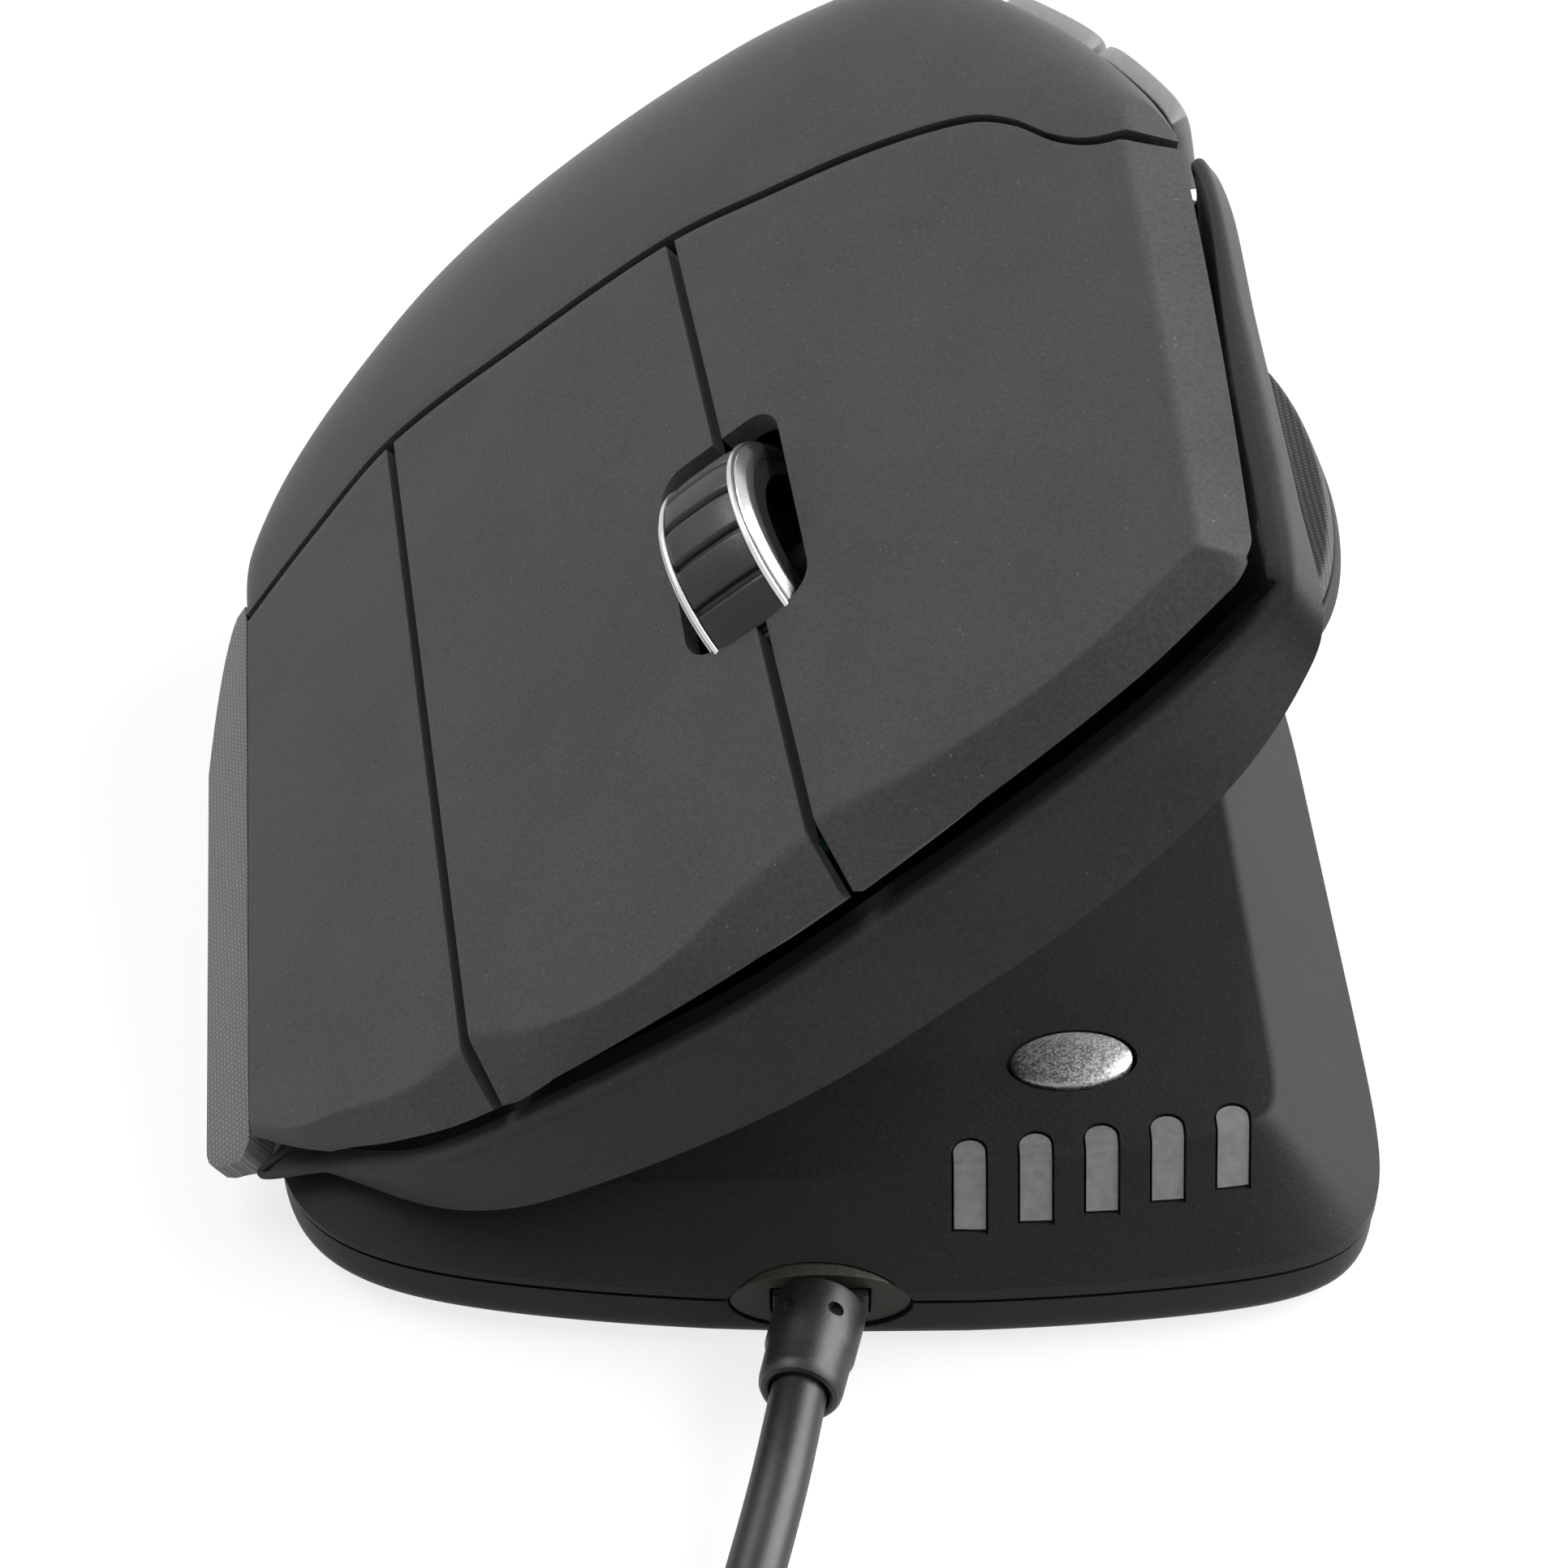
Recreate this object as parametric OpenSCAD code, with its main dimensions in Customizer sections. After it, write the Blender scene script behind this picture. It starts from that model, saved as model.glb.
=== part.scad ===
// Vertical ergonomic mouse with an adjustable tilt and a thumb support.
// Frame: +Z up from the desk, -Y is the front where the cord leaves,
// +X is the thumb side and -X the little-finger side, where the hinge runs.
// The upper body has its own frame at the hinge: a goes across the button deck
// from the hinge to the thumb, y is the same Y, and c stands square to the deck.

/* [Base] */
// Reach of the base to the thumb side
base_right = 42; // [42:0.2:45]
// Reach of the base to the little-finger side, round the hinge
base_left = 41.6; // [41:0.1:41.8]
// Reach of the base to the front
base_front = 57.8; // [57:0.2:58]
// Reach of the base to the back
base_back = 51; // [49:0.5:58]
// Height of the base's top plane above the desk, at the origin
base_h = 12; // [11.5:0.25:12.5]
// Slope of the top plane, down towards the hinge, in degrees
base_slope = 5.2; // [4.5:0.1:6]
// Height of the line where the base's two shells part
part_h = 5; // [4.5:0.25:5.5]
// Width of the sloping shoulder on the thumb side of the base
shoulder_w = 9; // [9:0.2:10]
// Inset of the top crease at the front
crease_in = 5.8; // [5.4:0.1:6]
// Thickness of the base's shells
base_wall = 2; // [1.6:0.2:2.4]

/* [Hinge] */
// Place of the hinge axis across the base
hinge_x = -39; // [-39.2:0.1:-38.6]
// Height of the hinge axis
hinge_z = 7; // [6.8:0.1:7.4]
// Radius of the hinge barrel
barrel_r = 3; // [2.8:0.1:3.1]
// Radius of the hinge pin
pin_r = 1.4; // [1.2:0.1:1.6]
// Front end of the hinge barrel
hinge_front = -36; // [-37:1:-34]
// Length of the hinge barrel
hinge_l = 56; // [52:1:58]
// Tilt of the button deck at rest, in degrees
tilt = 40; // [36:1:68]

/* [Upper body] */
// Height of the deck above the body's own datum, level with the origin
deck_h = 19; // [18.5:0.25:20]
// Pitch of the deck, down towards the front, in degrees
deck_pitch = 13; // [12:0.5:13.5]
// Little-finger edge of the deck
deck_left = -5; // [-6:0.25:-4.5]
// Front edge of the deck, at its middle
deck_front = -55.6; // [-57:0.2:-55]
// Back end of the body
body_back = 50.5; // [49:0.5:52]
// Thickness of the deck's plastic keys and of the palm cover
shell_t = 2; // [1.6:0.1:2.2]
// Thickness of the lower shell
hull_t = 2.2; // [1.8:0.1:2.6]
// Depth of the belly below the body's own datum
belly_depth = 19; // [17.5:0.5:19.5]
// Gap between keys, and between keys and palm cover
key_gap = 0.9; // [0.6:0.1:1.2]
// Shadow gap between the keys' front edge and the lower shell's rim
rim_gap = 2.4; // [2:0.1:3]
// Height of the bevel along the deck's edge
bevel_h = 2.8; // [2.2:0.1:3.2]
// Width of the rubber grip on the little-finger side
grip_w = 5.2; // [4.6:0.1:5.6]

/* [Scroll wheel] */
// Radius over the rubber tyre
wheel_r = 10.5; // [9.5:0.25:11]
// Width of the wheel
wheel_w = 8; // [7:0.2:9]
// Place of the wheel across the deck
wheel_a = 45.2; // [44:0.2:46.5]
// Place of the wheel along the deck
wheel_y = -24.7; // [-26:0.1:-23]
// Height of the wheel's crown above the deck
wheel_out = 4.2; // [3.4:0.1:4.6]
// Radius of the wheel's axle
axle_r = 1; // [0.8:0.1:1.3]

/* [Controls] */
// Length of the oval sensitivity button
dpi_l = 8.9; // [7.5:0.1:10]
// Width of the oval sensitivity button
dpi_w = 5.8; // [5:0.1:7]
// Press of the sensitivity button and the thumb buttons
press = 0.6; // [0.4:0.05:0.7]
// Number of indicator windows
led_count = 5; // [3:1:6]
// Pitch of the indicator windows
led_pitch = 4.7; // [4:0.1:4.8]
// Width of an indicator window
led_w = 2.3; // [2:0.1:3]

/* [Thumb support] */
// Place of the thumb support along the body
thumb_y = 6; // [4:0.5:8]
// Height of the thumb support's arm
thumb_z = 23.5; // [23:0.25:24.5]
// Width of the arm's flat bar
arm_w = 8; // [7:0.2:9]
// Thickness of the arm's flat bar
arm_t = 4; // [3.6:0.1:4.4]
// Length of the thumb rest
rest_l = 44; // [40:1:50]
// Width of the thumb rest
rest_w = 14; // [13:0.5:15]

/* [Cord] */
// Diameter of the cord
cord_d = 4; // [3.6:0.1:4.2]
// Radius of the middle turn of the coil
coil_r = 22.8; // [21:0.2:26]
// Turns in the coil
coil_turns = 9.75; // [5.75:1:11.75]

/* [Hidden] */
// Facets of true round parts
$fn = 48;
// Sides of the base's outline and of the lower shell's outline
ring_n = 72;
// Clearance of a running fit, of a loose fit and between seated flat faces
run = 0.05;
loose = 0.15;
seat = 0.02;
// Least air between parts that pass one another
air = 0.4;

// The middle of the object's box on the desk is the origin; the base's own middle lies this far from it
base_at = [4.08, 3.47];
module place() { translate([base_at[0], base_at[1], 0]) children(); }

// Curves and blends
function clamp(x) = min(max(x, 0), 1);
function mix(p, q, t) = p + (q - p) * t;
function ease(t) = let (x = clamp(t)) x * x * (3 - 2 * x);
function soft_max(p, q, k) =
    let (h = clamp(0.5 + 0.5 * (p - q) / k))
    mix(q, p, h) + k * h * (1 - h);
function smooth(p0, p1, p2, p3, t) =
    0.5 * (2 * p1 + (p2 - p0) * t + (2 * p0 - 5 * p1 + 4 * p2 - p3) * t * t
    + (3 * p1 - p0 - 3 * p2 + p3) * t * t * t);
// Point at share u of a smooth open curve through points
function along(p, u) =
    let (n = len(p) - 1, s = clamp(u) * n, i = min(floor(s), n - 1))
    smooth(p[max(i - 1, 0)], p[i], p[i + 1], p[min(i + 2, n)], s - i);
// Height over x of a smooth curve through points with rising x
function height_at(p, x) =
    let (n = len(p) - 1, i = max([for (k = [0:n - 1]) if (k == 0 || p[k][0] <= x) k]),
         t = clamp((x - p[i][0]) / (p[i + 1][0] - p[i][0])),
         w = p[i + 1][0] - p[i][0], m0 = rise(p, i) * w, m1 = rise(p, i + 1) * w)
    (2 * t * t * t - 3 * t * t + 1) * p[i][1] + (t * t * t - 2 * t * t + t) * m0
    + (3 * t * t - 2 * t * t * t) * p[i + 1][1] + (t * t * t - t * t) * m1;
function rise(p, i) =
    let (lo = max(i - 1, 0), hi = min(i + 1, len(p) - 1))
    (p[hi][1] - p[lo][1]) / (p[hi][0] - p[lo][0]);

// Closed solids from grids and rings of points
function quad(a, b, c, d) = [[a, b, c], [a, c, d]];
// Solid between a grid of points and the matching grid under it
module slab(top, under) {
    rows = len(top);
    cols = len(top[0]);
    n = rows * cols;
    flat = [for (row = top) each row, for (row = under) each row];
    faces = [
        for (i = [0:rows - 2], j = [0:cols - 2])
            let (p = i * cols + j, q = p + cols)
            each concat(quad(p, q, q + 1, p + 1), quad(n + p, n + p + 1, n + q + 1, n + q)),
        for (j = [0:cols - 2])
            let (p = j, q = (rows - 1) * cols + j)
            each concat(quad(p, p + 1, n + p + 1, n + p), quad(q + 1, q, n + q, n + q + 1)),
        for (i = [0:rows - 2])
            let (p = i * cols, q = p + cols, s = p + cols - 1, t = q + cols - 1)
            each concat(quad(q, p, n + p, n + q), quad(s, t, n + t, n + s))
    ];
    polyhedron(flat, faces, convexity = 6);
}
// Solid through rings of points, from a first cap that faces down to a last one that faces up
module loft(rings, first_cap, last_cap) {
    n = len(rings[0]);
    m = len(rings);
    flat = [for (ring = rings) each ring, first_cap, last_cap];
    faces = [
        for (i = [0:m - 2], k = [0:n - 1])
            let (p = i * n + k, q = i * n + (k + 1) % n)
            each quad(p + n, q + n, q, p),
        for (k = [0:n - 1])
            let (s = (m - 1) * n)
            each [[k, (k + 1) % n, n * m], [s + (k + 1) % n, s + k, n * m + 1]]
    ];
    polyhedron(flat, faces, convexity = 6);
}
// Tube of a given number of sides swept along points
module tube(path, d, sides) {
    last = len(path) - 1;
    rings = [
        for (i = [0:last])
            let (ahead = path[min(i + 1, last)] - path[max(i - 1, 0)],
                 t = ahead / norm(ahead), s = cross(t, [0, 0, 1]), side = s / norm(s), up = cross(side, t))
            [for (k = [0:sides - 1])
                let (w = 360 * (k + 0.5) / sides)
                path[i] + (side * cos(w) + up * sin(w)) * d / 2]
    ];
    loft([for (i = [last:-1:0]) rings[i]], path[last], path[0]);
}
module at(x, y, z) { translate([x, y, z]) children(); }
// Cylinder along the across direction, or along Y
module rod_x(r, l) { rotate([0, 90, 0]) cylinder(r = r, h = l); }
module rod_y(r, l) { rotate([-90, 0, 0]) cylinder(r = r, h = l); }
// Flat plate with round ends
module stadium(l, w, h) {
    linear_extrude(h) {
        square([l - w, w], center = true);
        at((l - w) / 2, 0, 0) circle(d = w);
        at((w - l) / 2, 0, 0) circle(d = w);
    }
}
function oval(l, w, n) = [for (i = [0:n - 1]) [l / 2 * cos(360 * i / n), w / 2 * sin(360 * i / n)]];

// Base outline: boxy corners and a bowed edge at the front, rounder at the back
front_corner = 8;
thumb_corner = 12;
back_corner = 2.8;
front_bow = 0.0028;
bow_mid = 3;
// Turn of outline point i, spread so that straight sides and corners both get points
function base_turn(i, n) =
    let (t = 360 * (i + 0.5) / ring_n, q = floor(t / 90), r = t - 90 * q)
    90 * q + (r + atan2(pow(sin(r), 2 / n), pow(cos(r), 2 / n))) / 2;
function base_point(i, right, left, front, back, sharp) =
    let (half = (i + 0.5) / ring_n, n = half < 0.5 ? back_corner : half > 0.75 ? sharp : front_corner,
         t = base_turn(i, n), k = pow(pow(abs(cos(t)), n) + pow(abs(sin(t)), n), -1 / n),
         x = k * cos(t) * (cos(t) > 0 ? right : left))
    [x, k * sin(t) * (sin(t) > 0 ? back : front - front_bow * pow(x - bow_mid, 2))];
function base_top_z(x) = base_h + x * tan(base_slope);
function side_point(i, inset) =
    base_point(i, base_right - inset, base_left - inset, base_front - inset, base_back - inset, thumb_corner);
// Ring of the base inset all round, at a height
function base_ring(inset, z) = [for (i = [0:ring_n - 1]) let (p = side_point(i, inset)) [p[0], p[1], z]];
// Ring of the waist, between the parting line and the crease, and the crease ring itself
waist = 0.12;
left_crease = 1.3;
back_crease = 2.4;
crease_corner = 30;
function waist_ring(inset) = [
    for (i = [0:ring_n - 1])
        let (p = side_point(i, inset))
        [p[0], p[1], mix(part_h, base_top_z(p[0]), waist)]
];
function crease_ring(inset, drop) = [
    for (i = [0:ring_n - 1])
        let (p = base_point(i, base_right - shoulder_w - inset, base_left - left_crease - inset,
                            base_front - crease_in - inset, base_back - back_crease - inset, crease_corner))
        [p[0], p[1], base_top_z(p[0]) - drop]
];
floor_z = 0.6;
foot_t = 1;
foot_sink = foot_t - floor_z;
feet = [[8, -44, 34, 7, 0], [6, 40, 34, 7, 0], [33.5, 2, 24, 5, 90], [-27, 2, 24, 5, 90]];
base_floor = floor_z + base_wall;

// Boards, screws and switches
board_t = 1.2;
base_board_z = 6;
base_board_at = [-20, -50];
base_board_w = 51;
base_board_l = 78;
screw_r = 1;
head_r = 2.1;
head_h = 1.5;
socket_r = 0.9;
post_r = 3;
screw_spots = [[30, -32], [-24, -40], [24, 32], [-22, 30]];
standoffs = [[-12, -38], [-12, 22], [20, 22], [22, -22]];
switch_size = 6;
switch_h = 2;
plunger_r = 1;

// Sensitivity button, indicator windows and cord port
dpi_x = 18.5;
dpi_y = -42.1;
dpi_proud = 1;
led_mid = 20;
led_xs = [for (i = [0:led_count - 1]) led_mid + (i - (led_count - 1) / 2) * led_pitch];
led_h = 3.8;
led_in = 2.3;
function led_back(x) = front_bow * pow(x - bow_mid, 2) + crease_in - base_front + led_in;
port_z = 4.6;
port_w = 13;
port_h = 5.4;
port_deep = 3;

// Hinge knuckles along Y: [start share, end share, on the upper body]
knuckles = [[0, 0.15, false], [0.15, 0.4, true], [0.4, 0.65, false], [0.65, 0.88, true], [0.88, 1, false]];
washer_t = 0.5;
knuckle_gap = washer_t + 0.2;
web_w = 4;
// Free length cut past the hinge's back end
hinge_end = 4;
function knuckle_y(share) = hinge_front + hinge_l * share;

// Frame of the upper body, with the hinge axis at its place in that frame
hinge_a = -6.5;
hinge_c = 2.55;
module body() { at(hinge_x, 0, hinge_z) rotate([0, -tilt, 0]) at(-hinge_a, 0, -hinge_c) children(); }
// The thumb support is drawn as it lies at this tilt, where its arm is level
level_tilt = 40;
module thumb_place() {
    at(hinge_x, 0, hinge_z) rotate([0, level_tilt - tilt, 0]) at(-hinge_x, 0, -hinge_z) children();
}

// Deck surface over (a, y): a pitched plane that levels off under the palm, slightly crowned
crest_start = 12;
crest_y = 38;
crown_a = 42;
crown = 0.0008;
finger_crown = 0.001;
finger_a = 10;
function deck(a, y) =
    deck_h + tan(deck_pitch) * (y - pow(max(y - crest_start, 0), 2) / (2 * (crest_y - crest_start)))
    - crown * pow(a - crown_a, 2) - finger_crown * pow(max(finger_a - a, 0), 2);

// Edges of the deck: front edge, thumb edge, dividers and the palm line, as y over a or a over y
thumb_front = [79.5, deck_front + 6.6];
front_steps = [[-7.2, 10.2], [-3, 7.6], [2.7, 5.2], [6, 4.1], [17.5, 1.5], [36, 0], [47.7, 0.5], [57, 1.2],
    [70, 3.4]];
front_edge = concat([for (p = front_steps) [p[0], deck_front + p[1]]], [thumb_front]);
thumb_back = [84.5, -14];
palm_line = [[deck_left, 5.5], [4, 8.4], [13.6, 11], [29.6, 10], [44.7, 8.5], [54.5, 5.6], [63.9, 2.4],
    [71.5, -1.4], [74.6, -4.6], [77, -8.6], [79.4, -11.2], [82, -12.6], [thumb_back[0], thumb_back[1] + 0.6]];
// Dividers between keys: [a at the front edge, a at the palm line]
split_thumb = [46.8, 44.7];
split_finger = [15.8, 13.6];
function front_y(a) = height_at(front_edge, a);
function palm_y(a) = height_at(palm_line, a);
// The keys' lip stands out past the front edge, but not at the little-finger corner
lip_out = 1.4;
lip_start = -1;
lip_run = 14;
function lip_y(a) = front_y(a) - lip_out * ease((a - lip_start) / lip_run);

// Outline of the body behind the palm line, from the little-finger side round to the thumb side
back_line = [[deck_left - 0.6, 6.4], [-7, 17], [-4.6, 29], [3, 40], [14, body_back - 2.4], [27, body_back],
    [40, body_back - 2], [53.6, 41], [64.6, 30], [72.2, 19.8], [77.4, 10.4], [81, 2], [83.4, -6],
    [thumb_back[0], thumb_back[1] + 1.8]];
// Level of the palm cover's lower edge, by share of the way along that outline
back_level = 2.5;
edge_drop = 4;
function palm_edge(u) =
    let (p = along(back_line, u), d = deck(p[0], p[1]))
    u < 0.42 ? mix(d - 1.2, back_level, ease(u / 0.26))
            : mix(back_level, d - mix(edge_drop, bevel_h, ease((u - 0.85) / 0.15)), ease((u - 0.42) / 0.26));
// Palm cover: how far it has come down at share v of the way from the palm line to the outline
round_off = 3.2;
function fall(v) = pow(max(1 - pow(v, round_off), 0), 0.46);

// Lower shell: outline from the front corner on the little-finger side round by the thumb,
// as [a, y, height of the side band, level of the rim]
rim_drop = 5.2;
thumb_drop = 4;
side_drop = 3.4;
hull_left = deck_left + 0.4;
thumb_key_h = 5;
thumb_lean = 0.55;
// Flat that lies along the base's top when the body is folded down
flat_slope = 0.56;
flat_level = 1.2;
corner_rim = 0.3;
flat_end = -4;
function flat_c(a) = flat_level - flat_slope * max(a, flat_end);
// The front of the shell hangs lower, past the base's edge
flat_droop = 1.8;
droop_start = -47;
droop_run = 6;
function flat_at(a, y) = flat_c(a) - flat_droop * ease((droop_start - y) / droop_run);
function front_rim(a, out, band) =
    let (y = front_y(a) - out) [a, y, band, max(deck(a, y) - rim_drop, flat_at(a, y) + corner_rim)];
function side_rim(a, y, band) = [a, y, band, deck(a, y) - thumb_drop];
left_band = 13;
function left_rim(a, y) = [a, y, left_band, max(deck(a, y) - side_drop, flat_c(a) + corner_rim)];
// Share of the full step down to clear the thumb buttons
function thumb_step(u) = ease((u - 0.61) / 0.09);
function back_rim(u, band) =
    let (p = along(back_line, u), in = thumb_lean * thumb_key_h * thumb_step(u) * ease((1.02 - u) / 0.1))
    [p[0] - in, p[1], band, palm_edge(u) - 1.5 * air - (thumb_key_h + 1.5 * air) * thumb_step(u)];
corner_tip = [-8.4, deck_front + 8.6, 2.6, 4.4];
back_bands = [11, 8, 6, 5.5, 5.5, 5.5, 5, 4, 2.4, 1.2, 1.2];
hull_points = [
    corner_tip, front_rim(-2.6, 0.9, 3.4),
    front_rim(6, rim_gap, 6), front_rim(18, rim_gap, 7.6), front_rim(34, rim_gap, 8.3),
    front_rim(48, rim_gap, 8.5), front_rim(59, rim_gap, 8.4), front_rim(70, rim_gap, 7.3),
    front_rim(77.4, rim_gap, 5.2), side_rim(81.3, deck_front + 4.4, 3.6), side_rim(83, -45, 1.8),
    side_rim(84, -38, 1.2), side_rim(84.4, -29, 1.2), side_rim(84.2, -19, 1.2), side_rim(84, -12.8, 1.2),
    back_rim(0.965, 1.2),
    for (k = [11:-1:1]) back_rim(k / 12, back_bands[k - 1]),
    for (y = [8, -6, -20, -34, deck_front + 12.4]) left_rim(hull_left, y)
];
hull_n = len(hull_points);
hull_steps = 3;
hull_outline = [
    for (i = [0:hull_n - 1], s = [0:hull_steps - 1])
        smooth(hull_points[(i + hull_n - 1) % hull_n], hull_points[i], hull_points[(i + 1) % hull_n],
               hull_points[(i + 2) % hull_n], s / hull_steps)
];
hull_mid = [38, -3];
belly_curve = 3;
function flat_point(p) = [p[0], p[1]];
// Underside at a share of the way from the middle to an outline point: a bowl, and the flat
function under_c(p, share) =
    let (edge = p[3] - p[2], q = hull_mid + (flat_point(p) - hull_mid) * share)
    soft_max(mix(-belly_depth, edge, pow(share, belly_curve)), flat_at(q[0], q[1]), 2);
function hull_ring(share, lift) = [
    for (p = hull_outline)
        let (q = hull_mid + (flat_point(p) - hull_mid) * share)
        [q[0], q[1], min(under_c(p, share) + lift, p[3] - (share < 1 ? 0.3 : 0))]
];
function rim_ring(inset, drop) = [
    for (p = hull_outline)
        let (q = flat_point(p), s = q + (hull_mid - q) / norm(hull_mid - q) * inset)
        [s[0], s[1], p[3] - drop]
];
// Underside over any place, from the outline point that lies the same way from the middle
function apart(v, w) = abs((v - w + 540) % 360 - 180);
function hull_c(a, y) =
    let (d = [a, y] - hull_mid, w = atan2(d[1], d[0]),
         off = [for (p = hull_outline) apart(atan2(p[1] - hull_mid[1], p[0] - hull_mid[0]), w)],
         best = hull_outline[search(min(off), off)[0]])
    under_c(best, norm(d) / norm(flat_point(best) - hull_mid));

// Scroll wheel and its seat
wheel_c = deck(wheel_a, wheel_y) + wheel_out - wheel_r;
ring_w = 1.1;
tyre_t = 1.9;
slot_side = 1.5;
slot_gap = 0.8;
slot_l = 2 * sqrt(pow(wheel_r, 2) - pow(wheel_r - wheel_out, 2)) + 1.6;
cheek_t = 1.8;
cheek_w = 8.6;
cheek_a = wheel_w / 2 + 0.6;
saddle_floor = wheel_c - wheel_r - 2.6;
guide_r = 1.3;
guide_gap = 8.5;
click_a = wheel_a + cheek_a + cheek_t + 6;

// Body board and the switches on it, under the deck
board_c = 0;
board_top = board_c + board_t;
key_switch = [5.8, 12.8, 4.4];
plunger_top = board_top + key_switch[2] + press;
key_spots = [[62, -38], [30, -38], [11.6, -33]];
board_left = 8;
board_right = 70.8;
board_front = -46;
board_back = 4;
board_posts = [[20, -44], [68.4, -43.4], [20, 1], [66, 1]];
well_a = cheek_a + cheek_t + 0.8;
well_y = wheel_r + 1.6;

// Key pivots: a bead on each key's tail, in an open saddle on the frame
pivot_y = 15;
bead_r = 1.2;
tail_t = 1.6;
tails = [[50, 62], [19, 41], [2, 11]];
pivot_c = deck(tails[2][0], pivot_y) - shell_t - bead_r - tail_t;
beam_w = 6;
beam_t = 2.4;
beam_top = pivot_c - bead_r - 0.6;
legs = [[18, 15], [61, 15]];
leg_r = 2.6;
leg_foot = 6;
runner_w = 3.6;

// Thumb buttons: spans along Y, and the switches behind them
thumb_spans = [[-9.6, 3.2], [4, 15]];
thumb_out = 0.5;
thumb_in = 1.3;
thumb_mid = [-3.2, 9.5];
function edge_share(y, lo = 0.55, hi = 1, n = 18) =
    let (m = (lo + hi) / 2)
    n == 0 ? m : along(back_line, m)[1] > y ? edge_share(y, m, hi, n - 1) : edge_share(y, lo, m, n - 1);
function edge_a(y) = along(back_line, edge_share(y))[0];
thumb_switch_size = 4.8;
thumb_c = [for (y = thumb_mid) deck(edge_a(y), y) - edge_drop - thumb_key_h / 2 - air];
plate_t = 1.5;
thumb_stem = 4.8;
thumb_switch_h = 2.4;
function plate_a(i) =
    edge_a(thumb_mid[i]) - thumb_in - thumb_lean * thumb_key_h / 2 - thumb_stem - thumb_switch_h;

// Thumb support: arm along X out of the belly, with a swivel and a tilt at its end
sleeve_start = 3;
sleeve_l = 15;
sleeve_t = 1.5;
arm_start = 4;
swivel_x = 27;
tilt_x = 36;
eye_r = 4;
eye_t = 2.4;
fork_t = 1.2;
link_w = 6;
swivel_r = 1.5;
lug_t = 2;
lug_r = 2.6;
rest_x = 35;
rest_z = 29.4;
rest_t = 1.8;
pad_t = 1.6;
rest_cup = 1.6;

// Cord: route points chosen by hand, and the coil beside its end
cord_z = cord_d / 2;
boot_start = [0, -base_front - 0.4, port_z];
boot_end = [-1.6, -66, 4.7];
lead_points = [boot_end, [-2.7, -72.2, 4.5], [-3.6, -76.3, 4], [-4.7, -80.8, 3.3], [-5.8, -86, 2.8],
    [-6.4, -92, 2.8], [-6.8, -98, 2.8], [-7, -104, 2.8], [-7, -111, 2.8], [-7, -117, 2.8], [-7, -121, 2.8]];
tie_t = 0.6;
coil_layers = 4;
coil_pitch = cord_d + 0.8;
coil_z = cord_z + tie_t + 0.2;
layer_turns = coil_turns / coil_layers;
coil_out = coil_r + layer_turns * coil_pitch / 2;
coil_at = [lead_points[len(lead_points) - 1][0] + coil_out, lead_points[len(lead_points) - 1][1] - cord_d];
loop_rings = 24;
// Spiral in and out by layers, climbing in the half turn round each reversal
function coil_point(turn) =
    let (s = turn / layer_turns, layer = min(floor(s), coil_layers - 1), t = s - layer,
         share = layer % 2 == 0 ? t : 1 - t, r = coil_out - share * layer_turns * coil_pitch,
         near = round(s), lift = clamp((turn - near * layer_turns) * 2 + 0.5),
         climbed = near < 1 ? 0 : near > coil_layers - 1 ? coil_layers - 1 : near - 1 + lift,
         w = 180 + 360 * turn)
    [coil_at[0] + r * cos(w), coil_at[1] + r * sin(w), coil_z + climbed * coil_pitch];
coil_steps = round(coil_turns * loop_rings);
coil_body = [for (i = [0:coil_steps]) coil_point(coil_turns * i / coil_steps)];
coil_end = coil_body[coil_steps] + [-cord_d, 0, 0];
coil_path = concat([coil_body[0] + [0, cord_d, 0]], coil_body, [coil_end]);
// Least distance between the tube and itself, two thirds of a turn or more apart
coil_spaces = [for (i = [0:2:coil_steps], j = [i + 16:coil_steps]) norm(coil_body[i] - coil_body[j])];
coil_gap = min(coil_spaces) - cord_d;
echo(coil_least_gap_mm = coil_gap);
tail_points = [coil_end, [13.6, -96.4, 16.8], [8, -96.6, 15], [2, -96.8, 12.6], [-4, -97, 10.4],
    [-9, -97.2, 8.2], [-13, -97.3, 6.2], [-17, -97.4, 4.9], [-21, -97.4, 4.4]];
plug_at = tail_points[len(tail_points) - 1];
plug_l = 22;
plug_w = 14;
plug_h = 7.6;
shell_w = 12;
shell_h = 4.5;
shell_l = 12;
echo(cord_length_mm = route_length(lead_points) + route_length(coil_path) + route_length(tail_points));
function route_length(p) = let (d = [for (i = [1:len(p) - 1]) norm(p[i] - p[i - 1])]) d * [for (x = d) 1];

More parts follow.
